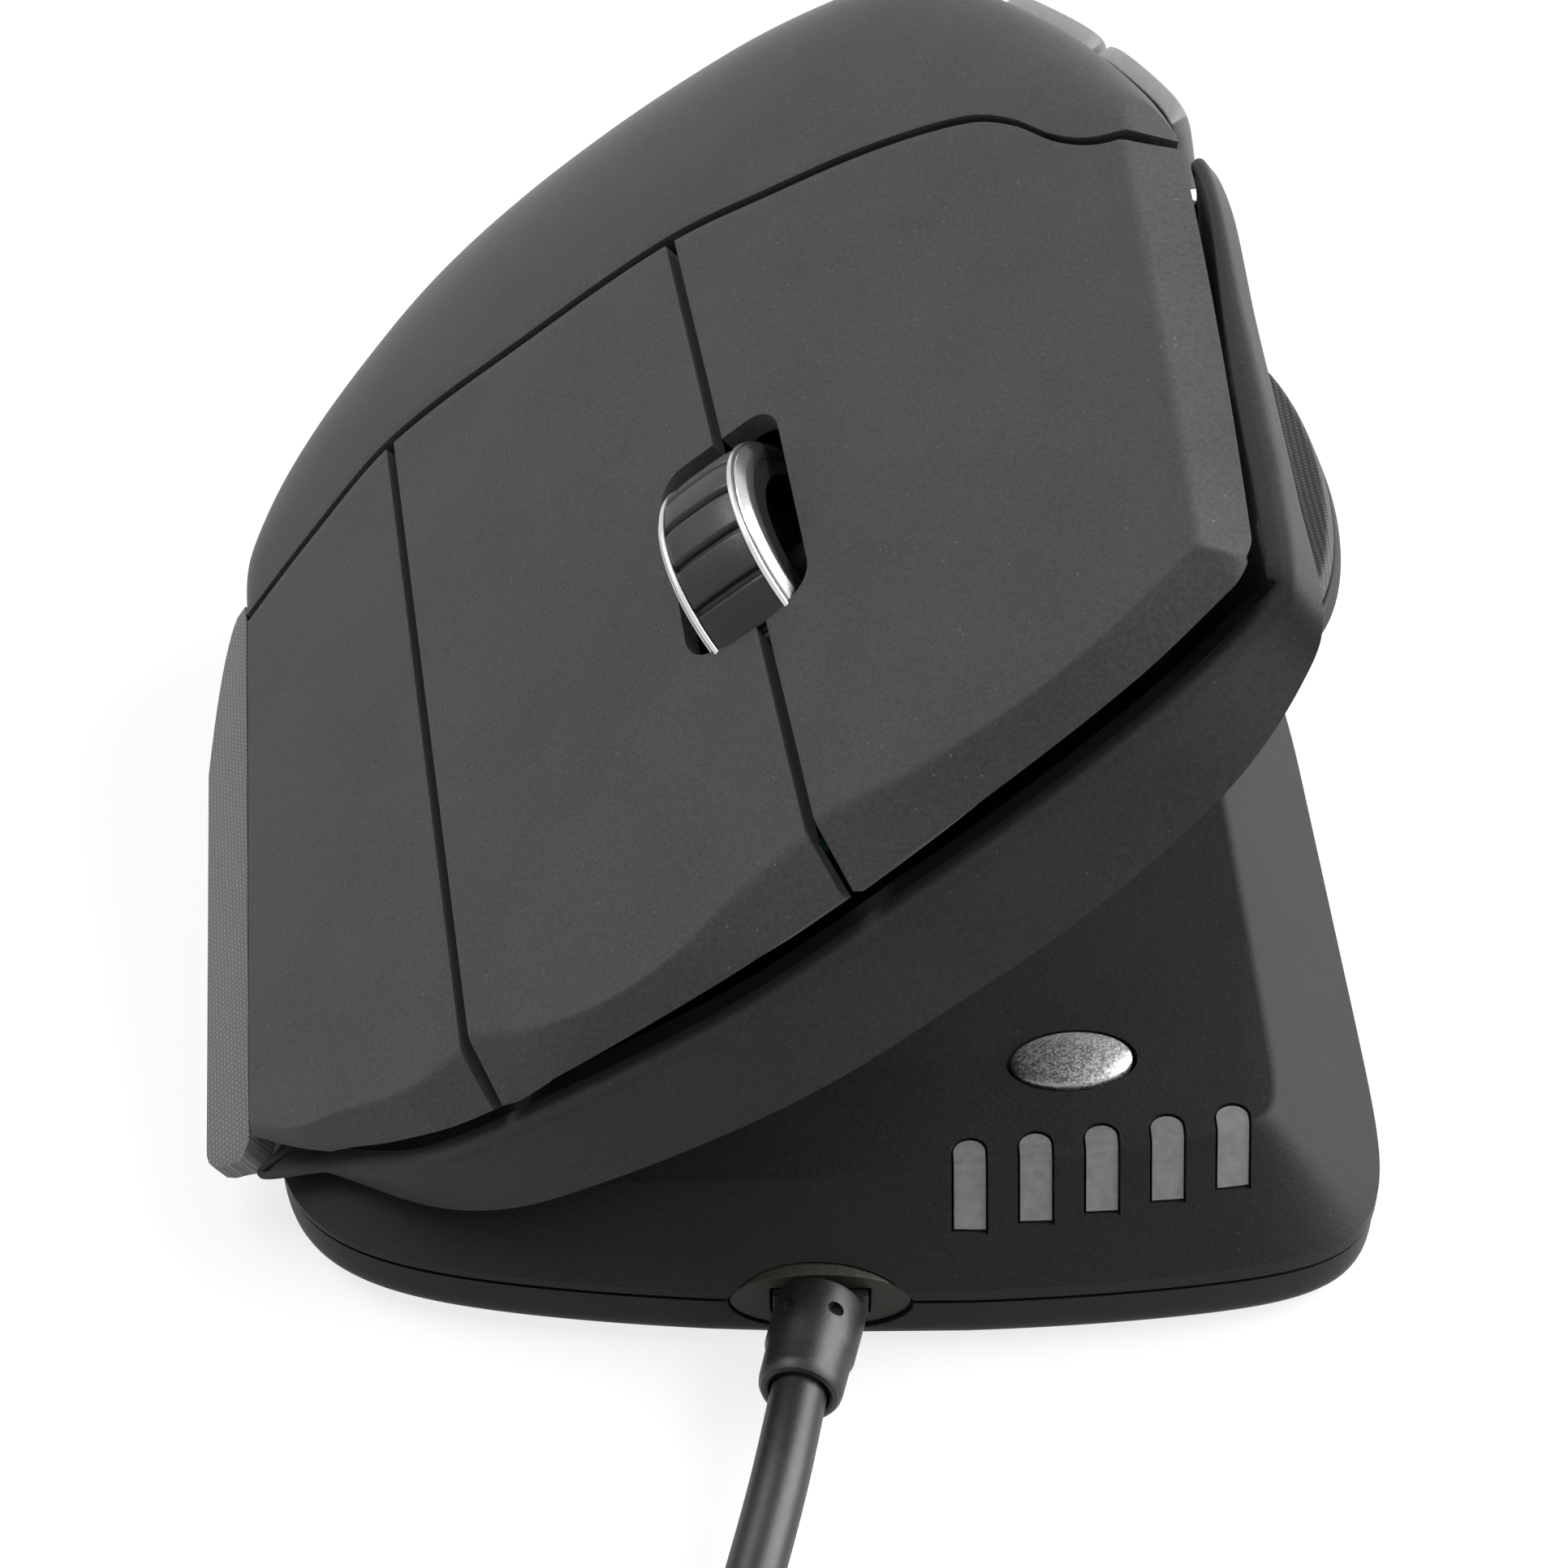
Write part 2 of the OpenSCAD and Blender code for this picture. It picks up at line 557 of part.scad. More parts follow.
// Outer envelope of the base's upper part
module base_envelope() {
    top = crease_ring(0, 0);
    loft([base_ring(0, part_h), waist_ring(0), top], [0, 0, part_h], [0, 0, base_h]);
}
module screw_posts(z0, z1, r) { for (p = screw_spots) at(p[0], p[1], z0) cylinder(r = r, h = z1 - z0); }
module port_hole(grow) {
    at(0, -base_front - 3, port_z) rotate([-90, 0, 0])
        linear_extrude(3 + port_deep + grow) polygon(oval(port_w + 2 * grow, port_h + 2 * grow, 32));
}
module base_bottom() {
    color("#232323") difference() {
        union() {
            loft([base_ring(1.8, floor_z), base_ring(0.7, floor_z + 0.5), base_ring(0.15, floor_z + 1.6),
                  base_ring(0.1, part_h - 0.15), base_ring(base_wall, part_h - 0.15),
                  base_ring(base_wall + 1, base_floor)], [0, 0, floor_z], [0, 0, base_floor]);
            screw_posts(base_floor - 0.5, base_board_z - 0.2, post_r);
            for (p = standoffs) at(p[0], p[1], base_floor - 0.5)
                cylinder(r = 2, h = base_board_z - base_floor + 0.5);
        }
        screw_posts(-1, base_board_z, screw_r + loose);
        screw_posts(-1, floor_z + head_h + 0.3, head_r + loose);
        for (p = standoffs) at(p[0], p[1], base_floor) cylinder(r = 0.6, h = base_board_z);
        for (f = feet) at(f[0], f[1], -1) rotate([0, 0, f[4]])
            stadium(f[2] + 2 * loose, f[3] + 2 * loose, 1 + floor_z + foot_sink);
        at(0, 0, 0) cube([9, 7, 3 * base_wall], center = true);
        port_hole(loose);
        at(0, -base_front + port_deep, port_z) cube([9, 10, 4], center = true);
        at(hinge_x, hinge_front - 1, hinge_z) rod_y(barrel_r + air, hinge_l + 2);
    }
}
module base_top() {
    color("#1f1f1f") difference() {
        union() {
            loft([crease_ring(base_wall, base_wall), waist_ring(base_wall), base_ring(base_wall, part_h),
                  base_ring(0, part_h), waist_ring(0), crease_ring(0, 0)],
                 [0, 0, base_h - base_wall], [0, 0, base_h]);
            for (p = screw_spots) at(p[0], p[1], base_board_z)
                cylinder(r = post_r, h = base_top_z(p[0]) - 1 - base_board_z);
            for (k = knuckles) if (!k[2]) at(hinge_x, knuckle_y(k[0]), hinge_z) {
                length = knuckle_y(k[1]) - knuckle_y(k[0]);
                rod_y(barrel_r, length);
                at(-web_w / 2, 0, part_h - hinge_z + 0.2) cube([web_w, length, hinge_z - part_h]);
            }
        }
        for (p = screw_spots) at(p[0], p[1], base_board_z - 1)
            cylinder(r = screw_r + run, h = base_top_z(p[0]) - base_wall - base_board_z + 1);
        at(hinge_x, hinge_front - 1, hinge_z) rod_y(pin_r + run, hinge_l + 2);
        for (k = knuckles) if (k[2]) at(hinge_x, knuckle_y(k[0]), hinge_z)
            rod_y(barrel_r + air, knuckle_y(k[1]) - knuckle_y(k[0]));
        at(dpi_x, dpi_y, base_board_z) linear_extrude(dpi_top - base_board_z)
            polygon(oval(dpi_l + 2 * loose, dpi_w + 2 * loose, 32));
        for (x = led_xs) at(x, led_back(x), base_top_z(x) - led_h) linear_extrude(led_h + 3) led_window(seat);
        port_hole(loose);
    }
}
module glide_feet() {
    color("#101010") for (f = feet) at(f[0], f[1], 0) rotate([0, 0, f[4]]) stadium(f[2], f[3], foot_t - seat);
}
module base_screws() {
    color("#8a8a8a") for (p = screw_spots) at(p[0], p[1], floor_z + 0.3) difference() {
        union() {
            cylinder(r = head_r, h = head_h - seat);
            cylinder(r = screw_r, h = base_top_z(p[0]) - base_wall - floor_z - 1);
        }
        at(0, 0, -0.5) cylinder(r = socket_r, h = 1.2, $fn = 6);
    }
}
module base_board() {
    color("#1d5c35") difference() {
        at(base_board_at[0], base_board_at[1], base_board_z + seat)
            cube([base_board_w, base_board_l, board_t]);
        screw_posts(base_board_z - 1, base_board_z + 4, post_r + air);
        for (p = standoffs) at(p[0], p[1], base_board_z - 1) cylinder(r = 0.8, h = board_t + 2);
        at(0, 0, base_board_z) cube([6, 5, 6], center = true);
    }
}
module sensor_chip() {
    color("#151515") at(-5, -8, base_board_z + board_t + 2 * seat) cube([10, 16, 1.9]);
}
module sensor_lens() {
    color("#c8d2d8") union() {
        at(-7, -6, base_floor + seat) cube([14, 12, 1]);
        at(-2.5, -2, floor_z + 0.3) cube([5, 4, base_board_z - floor_z - 0.6]);
    }
}
dpi_top = base_top_z(dpi_x) + dpi_proud;
dpi_under = base_top_z(dpi_x - dpi_l / 2) - base_wall;
dpi_plunger_top = base_board_z + board_t + switch_h + 0.9;
module dpi_button() {
    color("#b4b6b8") union() {
        at(dpi_x, dpi_y, dpi_plunger_top + 0.6) linear_extrude(dpi_top - dpi_plunger_top - 0.6)
            polygon(oval(dpi_l, dpi_w, 32));
        at(dpi_x, dpi_y, dpi_under - 1.1) linear_extrude(0.9) polygon(oval(dpi_l + 1.2, dpi_w + 1.2, 32));
        at(dpi_x, dpi_y, dpi_plunger_top + seat) cylinder(r = 1.4, h = dpi_top - dpi_plunger_top - 0.5);
    }
}
// Push switch with an open well for its plunger
module push_switch(size, h, well) {
    difference() {
        at(-size / 2, -size / 2, 0) cube([size, size, h]);
        at(0, 0, h - well) cylinder(r = plunger_r + loose, h = well + 1);
    }
}
module dpi_switch() {
    color("#2a2a2e") at(dpi_x, dpi_y, base_board_z + board_t + 2 * seat)
        push_switch(switch_size, switch_h, 1.6);
}
module dpi_plunger() {
    color("#d8d2c0") at(dpi_x, dpi_y, dpi_plunger_top - 1.7) cylinder(r = plunger_r, h = 1.7);
}
// Plan of a window: straight to the front, round at its inner end
module led_window(grow) {
    at(-led_w / 2 - grow, -led_run, 0) square([led_w + 2 * grow, led_run - led_w / 2]);
    at(0, -led_w / 2, 0) circle(led_w / 2 + grow);
}
led_run = 12;
led_gap = 1.3;
led_lap = 0.5;
led_leg = 2.1;
module light_pipes() {
    color("#6a6a6a") for (x = led_xs) union() {
        intersection() {
            at(x, led_back(x), base_top_z(x) - led_h + seat) linear_extrude(led_h + 3) led_window(0);
            base_envelope();
        }
        at(x - led_w / 4, led_back(x) - led_lap, base_board_z + board_t + led_gap)
            cube([led_w / 2, led_leg, base_top_z(x) - base_wall - base_board_z - board_t - 2.2 * led_gap]);
    }
}
module indicator_leds() {
    color("#e8e4d8") for (x = led_xs) at(x - 0.8, led_back(x) + 0.9, base_board_z + board_t + 2 * seat)
        cube([1.6, 1.4, 1]);
}
module port_bezel() {
    color("#2f2d28") difference() {
        at(0, -base_front + 0.5, port_z) rotate([-90, 0, 0]) linear_extrude(port_deep - 0.5)
            polygon(oval(port_w, port_h, 32));
        at(-3.4 - loose, -base_front - 2, port_z - 1.1 - loose) cube([6.8 + 2 * loose, 20, 2.2 + 2 * loose]);
    }
}
module cord_socket() {
    color("#b9bbbd") difference() {
        at(-3.9, -base_front + port_deep + seat, port_z - 1.4)
            cube([7.8, 6, base_board_z - port_z + 1.4 - seat]);
        at(-3.4 - loose, -base_front, port_z - 1.1 - loose) cube([6.8 + 2 * loose, 8, 2.2 + 2 * loose]);
    }
}
module hinge_pin() {
    color("#a9abad") at(hinge_x, hinge_front, hinge_z) rod_y(pin_r, hinge_l);
}
module hinge_washers() {
    color("#c9b27a") for (i = [1:len(knuckles) - 1]) {
        y = knuckle_y(knuckles[i][0]) + (knuckles[i][2] ? 0 : -knuckle_gap);
        at(hinge_x, y + (knuckle_gap - washer_t) / 2, hinge_z) difference() {
            rod_y(barrel_r - 0.2, washer_t);
            at(0, -1, 0) rod_y(pin_r + run, washer_t + 2);
        }
    }
}

// Lower shell of the upper body
function boss_foot(p) = hull_c(p[0], p[1]) + hull_t / 2;
function boss_top(p) = hull_c(p[0], p[1]) + hull_t + leg_foot;
function screw_seat(p) = hull_c(p[0], p[1]) + hull_t;
flange = 3.6;
guide_ys = [wheel_y - guide_gap, wheel_y + guide_gap];
guide_top = saddle_floor - 1.2;
module arm_box(x0, x1, grow) {
    at(x0, thumb_y - arm_w / 2 - grow, thumb_z - arm_t / 2 - grow)
        cube([x1 - x0, arm_w + 2 * grow, arm_t + 2 * grow]);
}
module lower_shell() {
    color("#262626") difference() {
        body() difference() {
            union() {
                shares = [0.25, 0.48, 0.66, 0.8, 0.9, 0.96, 1];
                loft([for (s = shares) hull_ring(s, 0),
                      rim_ring(0, 0), rim_ring(flange, 0.4),
                      for (i = [4:-1:0]) hull_ring(shares[i] - 0.02, hull_t)],
                     [hull_mid[0], hull_mid[1], -belly_depth],
                     [hull_mid[0], hull_mid[1], hull_t - belly_depth]);
                for (k = knuckles) if (k[2]) at(hinge_a, knuckle_y(k[0]) + knuckle_gap, hinge_c)
                    rod_y(barrel_r, knuckle_y(k[1]) - knuckle_y(k[0]) - 2 * knuckle_gap);
                for (p = board_posts) at(p[0], p[1], boss_foot(p))
                    cylinder(r = 2.4, h = board_c - boss_foot(p));
                for (p = legs) at(p[0], p[1], boss_foot(p))
                    cylinder(r = leg_r, h = boss_top(p) - boss_foot(p));
                for (y = guide_ys) at(wheel_a, y, boss_foot([wheel_a, y]))
                    cylinder(r = guide_r + 1.5, h = guide_top - boss_foot([wheel_a, y]));
            }
            for (p = board_posts) at(p[0], p[1], board_c - 5) cylinder(r = screw_r + run, h = 6);
            for (p = legs) {
                at(p[0], p[1], screw_seat(p) - 12) cylinder(r = head_r + loose, h = 12);
                at(p[0], p[1], screw_seat(p) - 1) cylinder(r = screw_r + loose, h = leg_foot + 2);
            }
            for (y = guide_ys) at(wheel_a, y, guide_top - 6.5) cylinder(r = guide_r + loose, h = 7);
            at(hinge_a, hinge_front - 1, hinge_c) rod_y(pin_r + run, hinge_l + 2);
            for (k = knuckles) if (!k[2])
                at(hinge_a, knuckle_y(k[0]) - (k[0] == 0 ? 1 : knuckle_gap), hinge_c)
                    rod_y(barrel_r + air, knuckle_y(k[1]) - knuckle_y(k[0]) + knuckle_gap
                          + (k[1] == 1 ? hinge_end : k[0] == 0 ? 1 : knuckle_gap));
        }
        thumb_place() arm_box(sleeve_start - 2, sleeve_start + sleeve_l + 20, sleeve_t + loose + seat);
    }
}
// Palm cover
palm_rows = [0, 0.18, 0.36, 0.52, 0.66, 0.78, 0.87, 0.93, 0.97, 1];
palm_cols = 26;
function palm_point(u, v, thin) =
    let (a = mix(palm_line[0][0], thumb_back[0], u), f = [a, palm_y(a) + key_gap / 2],
         b = along(back_line, u), d = b - f, inset = min(thin, 0.35 * norm(d)),
         e = f + d * (1 - inset / norm(d)), p = mix(f, e, v), low = palm_edge(u))
    [p[0], p[1], low + (deck(p[0], p[1]) - thin - low) * fall(v)];
function palm_grid(thin) = [for (v = palm_rows) [for (i = [0:palm_cols]) palm_point(i / palm_cols, v, thin)]];
module palm_cover() {
    color("#383838") body() slab(palm_grid(0), palm_grid(shell_t));
}
// Keys: patches between the front edge and the palm line
// Width of each key's front bevel, from its little-finger side to its thumb side
creases = [[3.8, 2.6, 1.7, 1.3, 1.5, 1.5], [3.8, 1.6, 0.6, 0.9, 2.5, 3], [0.9, 0.3, 1.1, 1.6, 3]];
side_bevel_w = 2.4;
// The thumb edge bows out between its ends
side_bow = 0.3;
fade_start = -7;
fade_run = 6;
function bevel_at(a) = bevel_h * mix(0.1, 1, clamp((a - fade_start) / fade_run));
edge_thin = 1.1;
lip_thin = 0.6;
key_rows = [0, 0.2, 0.4, 0.6, 0.8, 1];
// Point of key i at share u across and v along, on top or under it;
// lip marks the front row and edge the thumb side
function key_point(i, left, right, u, v, lip, edge, under) =
    let (af = mix(left[0], right[0], u), ap = mix(left[1], right[1], u),
         yf = lip_y(af), yp = palm_y(ap) - key_gap / 2, vb = along(creases[i], u) / (yp - yf),
         share = lip ? 0 : mix(vb, 1, v), bow = i == 0 ? side_bow * 4 * share * (1 - share) * pow(u, 4) : 0,
         a = mix(af, ap, share) + bow, y = mix(yf, yp, share),
         drop = max(lip ? bevel_at(a) : 0, edge ? bevel_h - 0.3 : 0), c = deck(a, y) - drop,
         thick = (lip || edge) ? lip_thin : mix(edge_thin, shell_t, clamp((a - deck_left) / 4)))
    under ? [a - (edge ? 1.2 : 0), y + (lip ? 1.1 : 0), c - thick] : [a, y, c];
function key_grid(i, left, right, cols, under) = [
    for (r = [-1:len(key_rows) - 1])
        [for (u = cols) key_point(i, left, right, u, r < 0 ? 0 : key_rows[r], r < 0, i == 0 && u == 1, under)]
];
// Tail with a round bead that sits in the frame's saddle
module key_tail(span) {
    m = (span[0] + span[1]) / 2;
    y1 = min(palm_y(span[0]), palm_y(span[1])) - key_gap / 2 - 0.4;
    y0 = y1 - 5;
    at(span[0], 0, 0) rotate([90, 0, 90]) linear_extrude(span[1] - span[0]) polygon([
        [y0, deck(m, y0) - shell_t + 0.5], [y1, deck(m, y1) - shell_t + 0.4],
        [y1 + 1, deck(m, y1) - shell_t - 0.8], [pivot_y - 2 * bead_r, pivot_c + tail_t],
        [pivot_y, pivot_c + 0.9 * bead_r], [pivot_y, pivot_c + 0.2], [pivot_y - bead_r - 1.3, pivot_c + 0.3],
        [y1, deck(m, y1) - shell_t - 2.4], [y0, deck(m, y0) - shell_t - 1]
    ]);
    at(span[0], pivot_y, pivot_c) rod_x(bead_r, span[1] - span[0]);
}
module key(i, left, right, cols) {
    spot = key_spots[i];
    body() difference() {
        union() {
            slab(key_grid(i, left, right, cols, false), key_grid(i, left, right, cols, true));
            key_tail(tails[i]);
            at(spot[0], spot[1], plunger_top + seat)
                cylinder(r = 1.5, h = deck(spot[0], spot[1]) - shell_t + 0.5 - plunger_top);
        }
        at(wheel_a, wheel_y, -10) linear_extrude(40) wheel_slot();
        at(wheel_a - wheel_w / 2 - slot_side, wheel_y, wheel_c)
            rod_x(wheel_r + slot_gap, wheel_w + 2 * slot_side);
    }
}
slot_corner = 2.4;
module wheel_slot() {
    w = wheel_w + 2 * slot_side;
    square([w, slot_l - 2 * slot_corner], center = true);
    square([w - 2 * slot_corner, slot_l], center = true);
    for (i = [-1, 1], j = [-1, 1]) at(i * (w / 2 - slot_corner), j * (slot_l / 2 - slot_corner), 0)
        circle(slot_corner);
}
half_gap = [key_gap / 2, key_gap / 2];
thumb_edge = [thumb_front[0], thumb_back[0]];
finger_flare = 2;
finger_edge = [deck_left - finger_flare, deck_left];
last_col = side_bevel_w / (thumb_edge[0] - split_thumb[0]);
module left_button() {
    color("#3c3c3c") key(0, split_thumb + half_gap, thumb_edge, [0, 0.2, 0.4, 0.6, 0.8, 1 - last_col, 1]);
}
module right_button() {
    color("#3c3c3c") key(1, split_finger + half_gap, split_thumb - half_gap, [0, 0.2, 0.4, 0.6, 0.8, 1]);
}
module third_button() {
    color("#3c3c3c") key(2, finger_edge, split_finger - half_gap, [0, 0.25, 0.5, 0.75, 1]);
}
// Rubber grip along the little-finger edge, seated on the lower shell's side
grip_ys = [-43, -40, -36, -28, -20, -12, -6, -1, 3, 5];
grip_seat = 0.1;
grip_gap = 0.5;
grip_drop = 0.5;
grip_h = 3.2;
// Lowest level of the grip's outer edge, which swings down beside the base
grip_low = hinge_c + 2.4;
function finger_line(y) =
    let (y0 = deck_front + 8) mix(finger_edge[0], finger_edge[1], clamp((y - y0) / (palm_line[0][1] - y0)));
function grip_section(y) =
    let (edge = finger_line(y), out = edge - grip_gap, in = hull_left - grip_seat,
         w = grip_w * pow(clamp((6.4 - y) / 14), 0.3) * mix(0.85, 1, ease((y + 45) / 5)),
         top = max(deck(out - w, y) - grip_drop, grip_low + 0.6), low = flat_c(in) + 0.2,
         under = max(deck(edge, y) - edge_thin - 1.4, low + 0.6))
    [[in, y, low], [out - 0.75 * w, y, max(top - grip_h, grip_low)],
     [out - w, y, max(top - grip_h / 2, grip_low + 0.3)], [out - w, y, top], [out, y, deck(edge, y) - 0.3],
     [out, y, under], [in, y, under]];
module grip_bar(sections) {
    n = len(sections[0]);
    m = len(sections);
    mid = [for (s = [sections[0], sections[m - 1]]) (s[0] + s[1] + s[3] + s[4]) / 4];
    loft([for (i = [m - 1:-1:0]) [for (k = [n - 1:-1:0]) sections[i][k]]], mid[1], mid[0]);
}
module side_grip() {
    color("#5a5c5c") body() difference() {
        grip_bar([for (y = grip_ys) grip_section(y)]);
        at(hinge_a, hinge_front - 1, hinge_c) rod_y(barrel_r + air, hinge_l + 2);
    }
}
// Thumb buttons along the thumb edge, between the palm cover and the lower shell's rim
thumb_rows = [0, 0.15, 0.5, 0.85, 1];
thumb_cols = 8;
function thumb_point(i, u, t, face) =
    let (y = mix(thumb_spans[i][0], thumb_spans[i][1], u), s = edge_share(y), p = along(back_line, s),
         top = palm_edge(s) - air, c = mix(top - thumb_key_h + air, top, t),
         swell = sqrt(max(1 - pow(2 * t - 1, 4), 0.1)) * sqrt(max(1 - pow(2 * u - 1, 6), 0.2)))
    [p[0] - thumb_lean * (top - c) + (face ? thumb_out * swell : -thumb_in), y, c];
module thumb_button(i) {
    grids = [for (face = [true, false]) [for (t = thumb_rows)
        [for (k = [0:thumb_cols]) thumb_point(i, k / thumb_cols, t, face)]]];
    a = edge_a(thumb_mid[i]) - thumb_in;
    body() union() {
        slab(grids[0], grids[1]);
        at(plate_a(i) + plate_t + thumb_switch_h + press + 0.2 + seat, thumb_mid[i], thumb_c[i])
            rod_x(1.4, a - plate_a(i) - plate_t - thumb_switch_h - press + 0.6);
    }
}
module thumb_button_front() { color("#3a3a3a") thumb_button(0); }
module thumb_button_back() { color("#3a3a3a") thumb_button(1); }
// Inner frame: beam with the keys' saddles, legs down to the lower shell, and plates for the thumb switches
module key_frame() {
    color("#202124") body() difference() {
        union() {
            at(tails[2][0] - 1, pivot_y - beam_w / 2, beam_top - beam_t)
                cube([plate_a(1) - tails[2][0] - 1, beam_w, beam_t]);
            for (t = tails) at(t[0] - 1, pivot_y - bead_r - 1, beam_top - 0.5)
                cube([t[1] - t[0] + 2, 2 * bead_r + 2, pivot_c - beam_top + 0.5]);
            for (p = legs) at(p[0], p[1], boss_top(p) + seat)
                cylinder(r = leg_r, h = beam_top - boss_top(p) - 0.5);
            for (i = [0, 1])
                at(plate_a(i), thumb_mid[i] - thumb_switch_size / 2, thumb_c[i] - thumb_switch_size / 2)
                    cube([plate_t, thumb_switch_size, thumb_switch_size]);
            at(plate_a(1) - runner_w, thumb_mid[0] - 2, beam_top - beam_t - 2.6)
                cube([runner_w + 0.5, pivot_y - thumb_mid[0], 2.8]);
            at(plate_a(1) - runner_w, thumb_mid[0] - 2, beam_top - beam_t - 2.6)
                cube([plate_a(0) - plate_a(1) + runner_w + 0.5, 3, 2.8]);
        }
        for (t = tails) at(t[0] - 2, pivot_y, pivot_c) rod_x(bead_r + run, t[1] - t[0] + 4);
        for (p = legs) at(p[0], p[1], boss_top(p) - 1) cylinder(r = screw_r + run, h = 8);
    }
}
module body_board() {
    color("#1d5c35") body() difference() {
        at(board_left, board_front, board_c + seat)
            cube([board_right - board_left, board_back - board_front, board_t]);
        at(wheel_a - well_a, wheel_y - well_y, board_c - 1) cube([2 * well_a, 2 * well_y, 4]);
        for (p = board_posts) at(p[0], p[1], board_c - 1) cylinder(r = screw_r + loose, h = 4);
    }
}
module board_screws() {
    color("#8a8a8a") body() for (p = board_posts) at(p[0], p[1], board_top + 2 * seat) difference() {
        union() {
            cylinder(r = head_r, h = head_h);
            at(0, 0, -4.5) cylinder(r = screw_r, h = 5);
        }
        at(0, 0, head_h - 0.7) cylinder(r = socket_r, h = 1.2, $fn = 6);
    }
}
module body_screws() {
    color("#8a8a8a") body() for (p = legs) at(p[0], p[1], screw_seat(p) - seat) difference() {
        union() {
            at(0, 0, -head_h) cylinder(r = head_r, h = head_h);
            at(0, 0, -0.5) cylinder(r = screw_r, h = leg_foot + 6);
        }
        at(0, 0, -head_h - 0.5) cylinder(r = socket_r, h = 1.2, $fn = 6);
    }
}
// Snap switches under the keys, each with an open well for its plunger
module key_switches() {
    color("#22242a") body() for (p = key_spots) at(p[0], p[1], board_top + 2 * seat) difference() {
        at(-key_switch[0] / 2, -key_switch[1] / 2, 0) cube(key_switch);
        at(0, 0, key_switch[2] - 2) cylinder(r = plunger_r + loose, h = 3);
    }
}
module key_plunger(i) {
    color("#c23b30") body() at(key_spots[i][0], key_spots[i][1], plunger_top - 1.9)
        cylinder(r = plunger_r, h = 1.9);
}
module left_plunger() { key_plunger(0); }
module right_plunger() { key_plunger(1); }
module third_plunger() { key_plunger(2); }
module thumb_switches() {
    color("#22242a") body() for (i = [0, 1]) at(plate_a(i) + plate_t + seat, thumb_mid[i], thumb_c[i])
        rotate([0, 90, 0]) push_switch(thumb_switch_size, thumb_switch_h, 1.8);
}
module thumb_plunger(i) {
    color("#d8d2c0") body()
        at(plate_a(i) + plate_t + thumb_switch_h + press + 0.2 - 1.7, thumb_mid[i], thumb_c[i])
            rod_x(plunger_r, 1.7);
}
module front_plunger() { thumb_plunger(0); }
module back_plunger() { thumb_plunger(1); }
// Scroll wheel: hub with a slotted web on its axle, rubber tyre, two bright rings, and the sprung carrier
hub_r = wheel_r - tyre_t;
web_t = 2.4;
slot_ring = 6;
wheel_slots = 12;
tyre_grooves = 18;
module wheel_place() { body() at(wheel_a, wheel_y, wheel_c) children(); }
module wheel_hub() {
    color("#1c1c1c") wheel_place() difference() {
        union() {
            at(-wheel_w / 2 + 0.1, 0, 0) rod_x(hub_r, wheel_w - 0.2);
            at(-cheek_a - cheek_t, 0, 0) rod_x(axle_r, 2 * (cheek_a + cheek_t));
        }
        for (side = [-1, 1]) at(side > 0 ? web_t / 2 : -wheel_w / 2 - 1, 0, 0) difference() {
            rod_x(hub_r - 1.4, wheel_w / 2 + 1 - web_t / 2);
            at(-1, 0, 0) rod_x(2.2, wheel_w);
        }
        for (i = [0:wheel_slots - 1]) rotate([360 * i / wheel_slots, 0, 0]) at(-web_t, 0, slot_ring - 0.2)
            rod_x(0.7, 2 * web_t);
    }
}
module wheel_tyre() {
    color("#2a2a2a") wheel_place() difference() {
        at(-wheel_w / 2 + ring_w + seat, 0, 0) rod_x(wheel_r, wheel_w - 2 * ring_w - 2 * seat);
        at(-wheel_w, 0, 0) rod_x(hub_r + seat, 2 * wheel_w);
        for (i = [0:tyre_grooves - 1]) rotate([360 * i / tyre_grooves, 0, 0])
            at(-wheel_w, -0.35, wheel_r - 0.7) cube([2 * wheel_w, 0.7, 2]);
    }
}
module wheel_rings() {
    color("#dcdcdc") wheel_place() for (x = [-wheel_w / 2, wheel_w / 2 - ring_w]) at(x, 0, 0) difference() {
        rod_x(wheel_r - 0.1, ring_w);
        at(-1, 0, 0) rod_x(hub_r + seat, ring_w + 2);
    }
}
cheek_top = 2.4;
carrier_floor_t = 1.5;
arm_low = board_top + switch_h + 0.9;
module wheel_carrier() {
    color("#303236") body() difference() {
        union() {
            for (a = [wheel_a - cheek_a - cheek_t, wheel_a + cheek_a])
                at(a, wheel_y - cheek_w / 2, saddle_floor)
                    cube([cheek_t, cheek_w, wheel_c + cheek_top - saddle_floor]);
            at(wheel_a - cheek_a - cheek_t, wheel_y - guide_gap - 2.2, saddle_floor)
                cube([2 * (cheek_a + cheek_t), 2 * (guide_gap + 2.2), carrier_floor_t]);
            for (y = guide_ys) at(wheel_a, y, guide_top - 5)
                cylinder(r = guide_r, h = saddle_floor - guide_top + 5.5);
            at(wheel_a + cheek_a + 0.5, wheel_y - 2, arm_low + seat)
                cube([click_a + 2 - wheel_a - cheek_a - 0.5, 4, 1.5]);
        }
        at(wheel_a - 2 * wheel_w, wheel_y, wheel_c) rod_x(axle_r + run, 4 * wheel_w);
    }
}
module scroll_sensors() {
    color("#3a2f3f") body() for (x = [wheel_a - well_a - 4, wheel_a + well_a + 1])
        at(x, wheel_y + slot_ring - 2, board_top + 2 * seat) cube([3, 4, wheel_c - board_top + 1.5]);
}
module click_switch() {
    color("#2a2a2e") body() at(click_a, wheel_y, board_top + 2 * seat)
        push_switch(switch_size, switch_h, 1.6);
}
module click_plunger() {
    color("#d8d2c0") body() at(click_a, wheel_y, arm_low - 1.7) cylinder(r = plunger_r, h = 1.7);
}
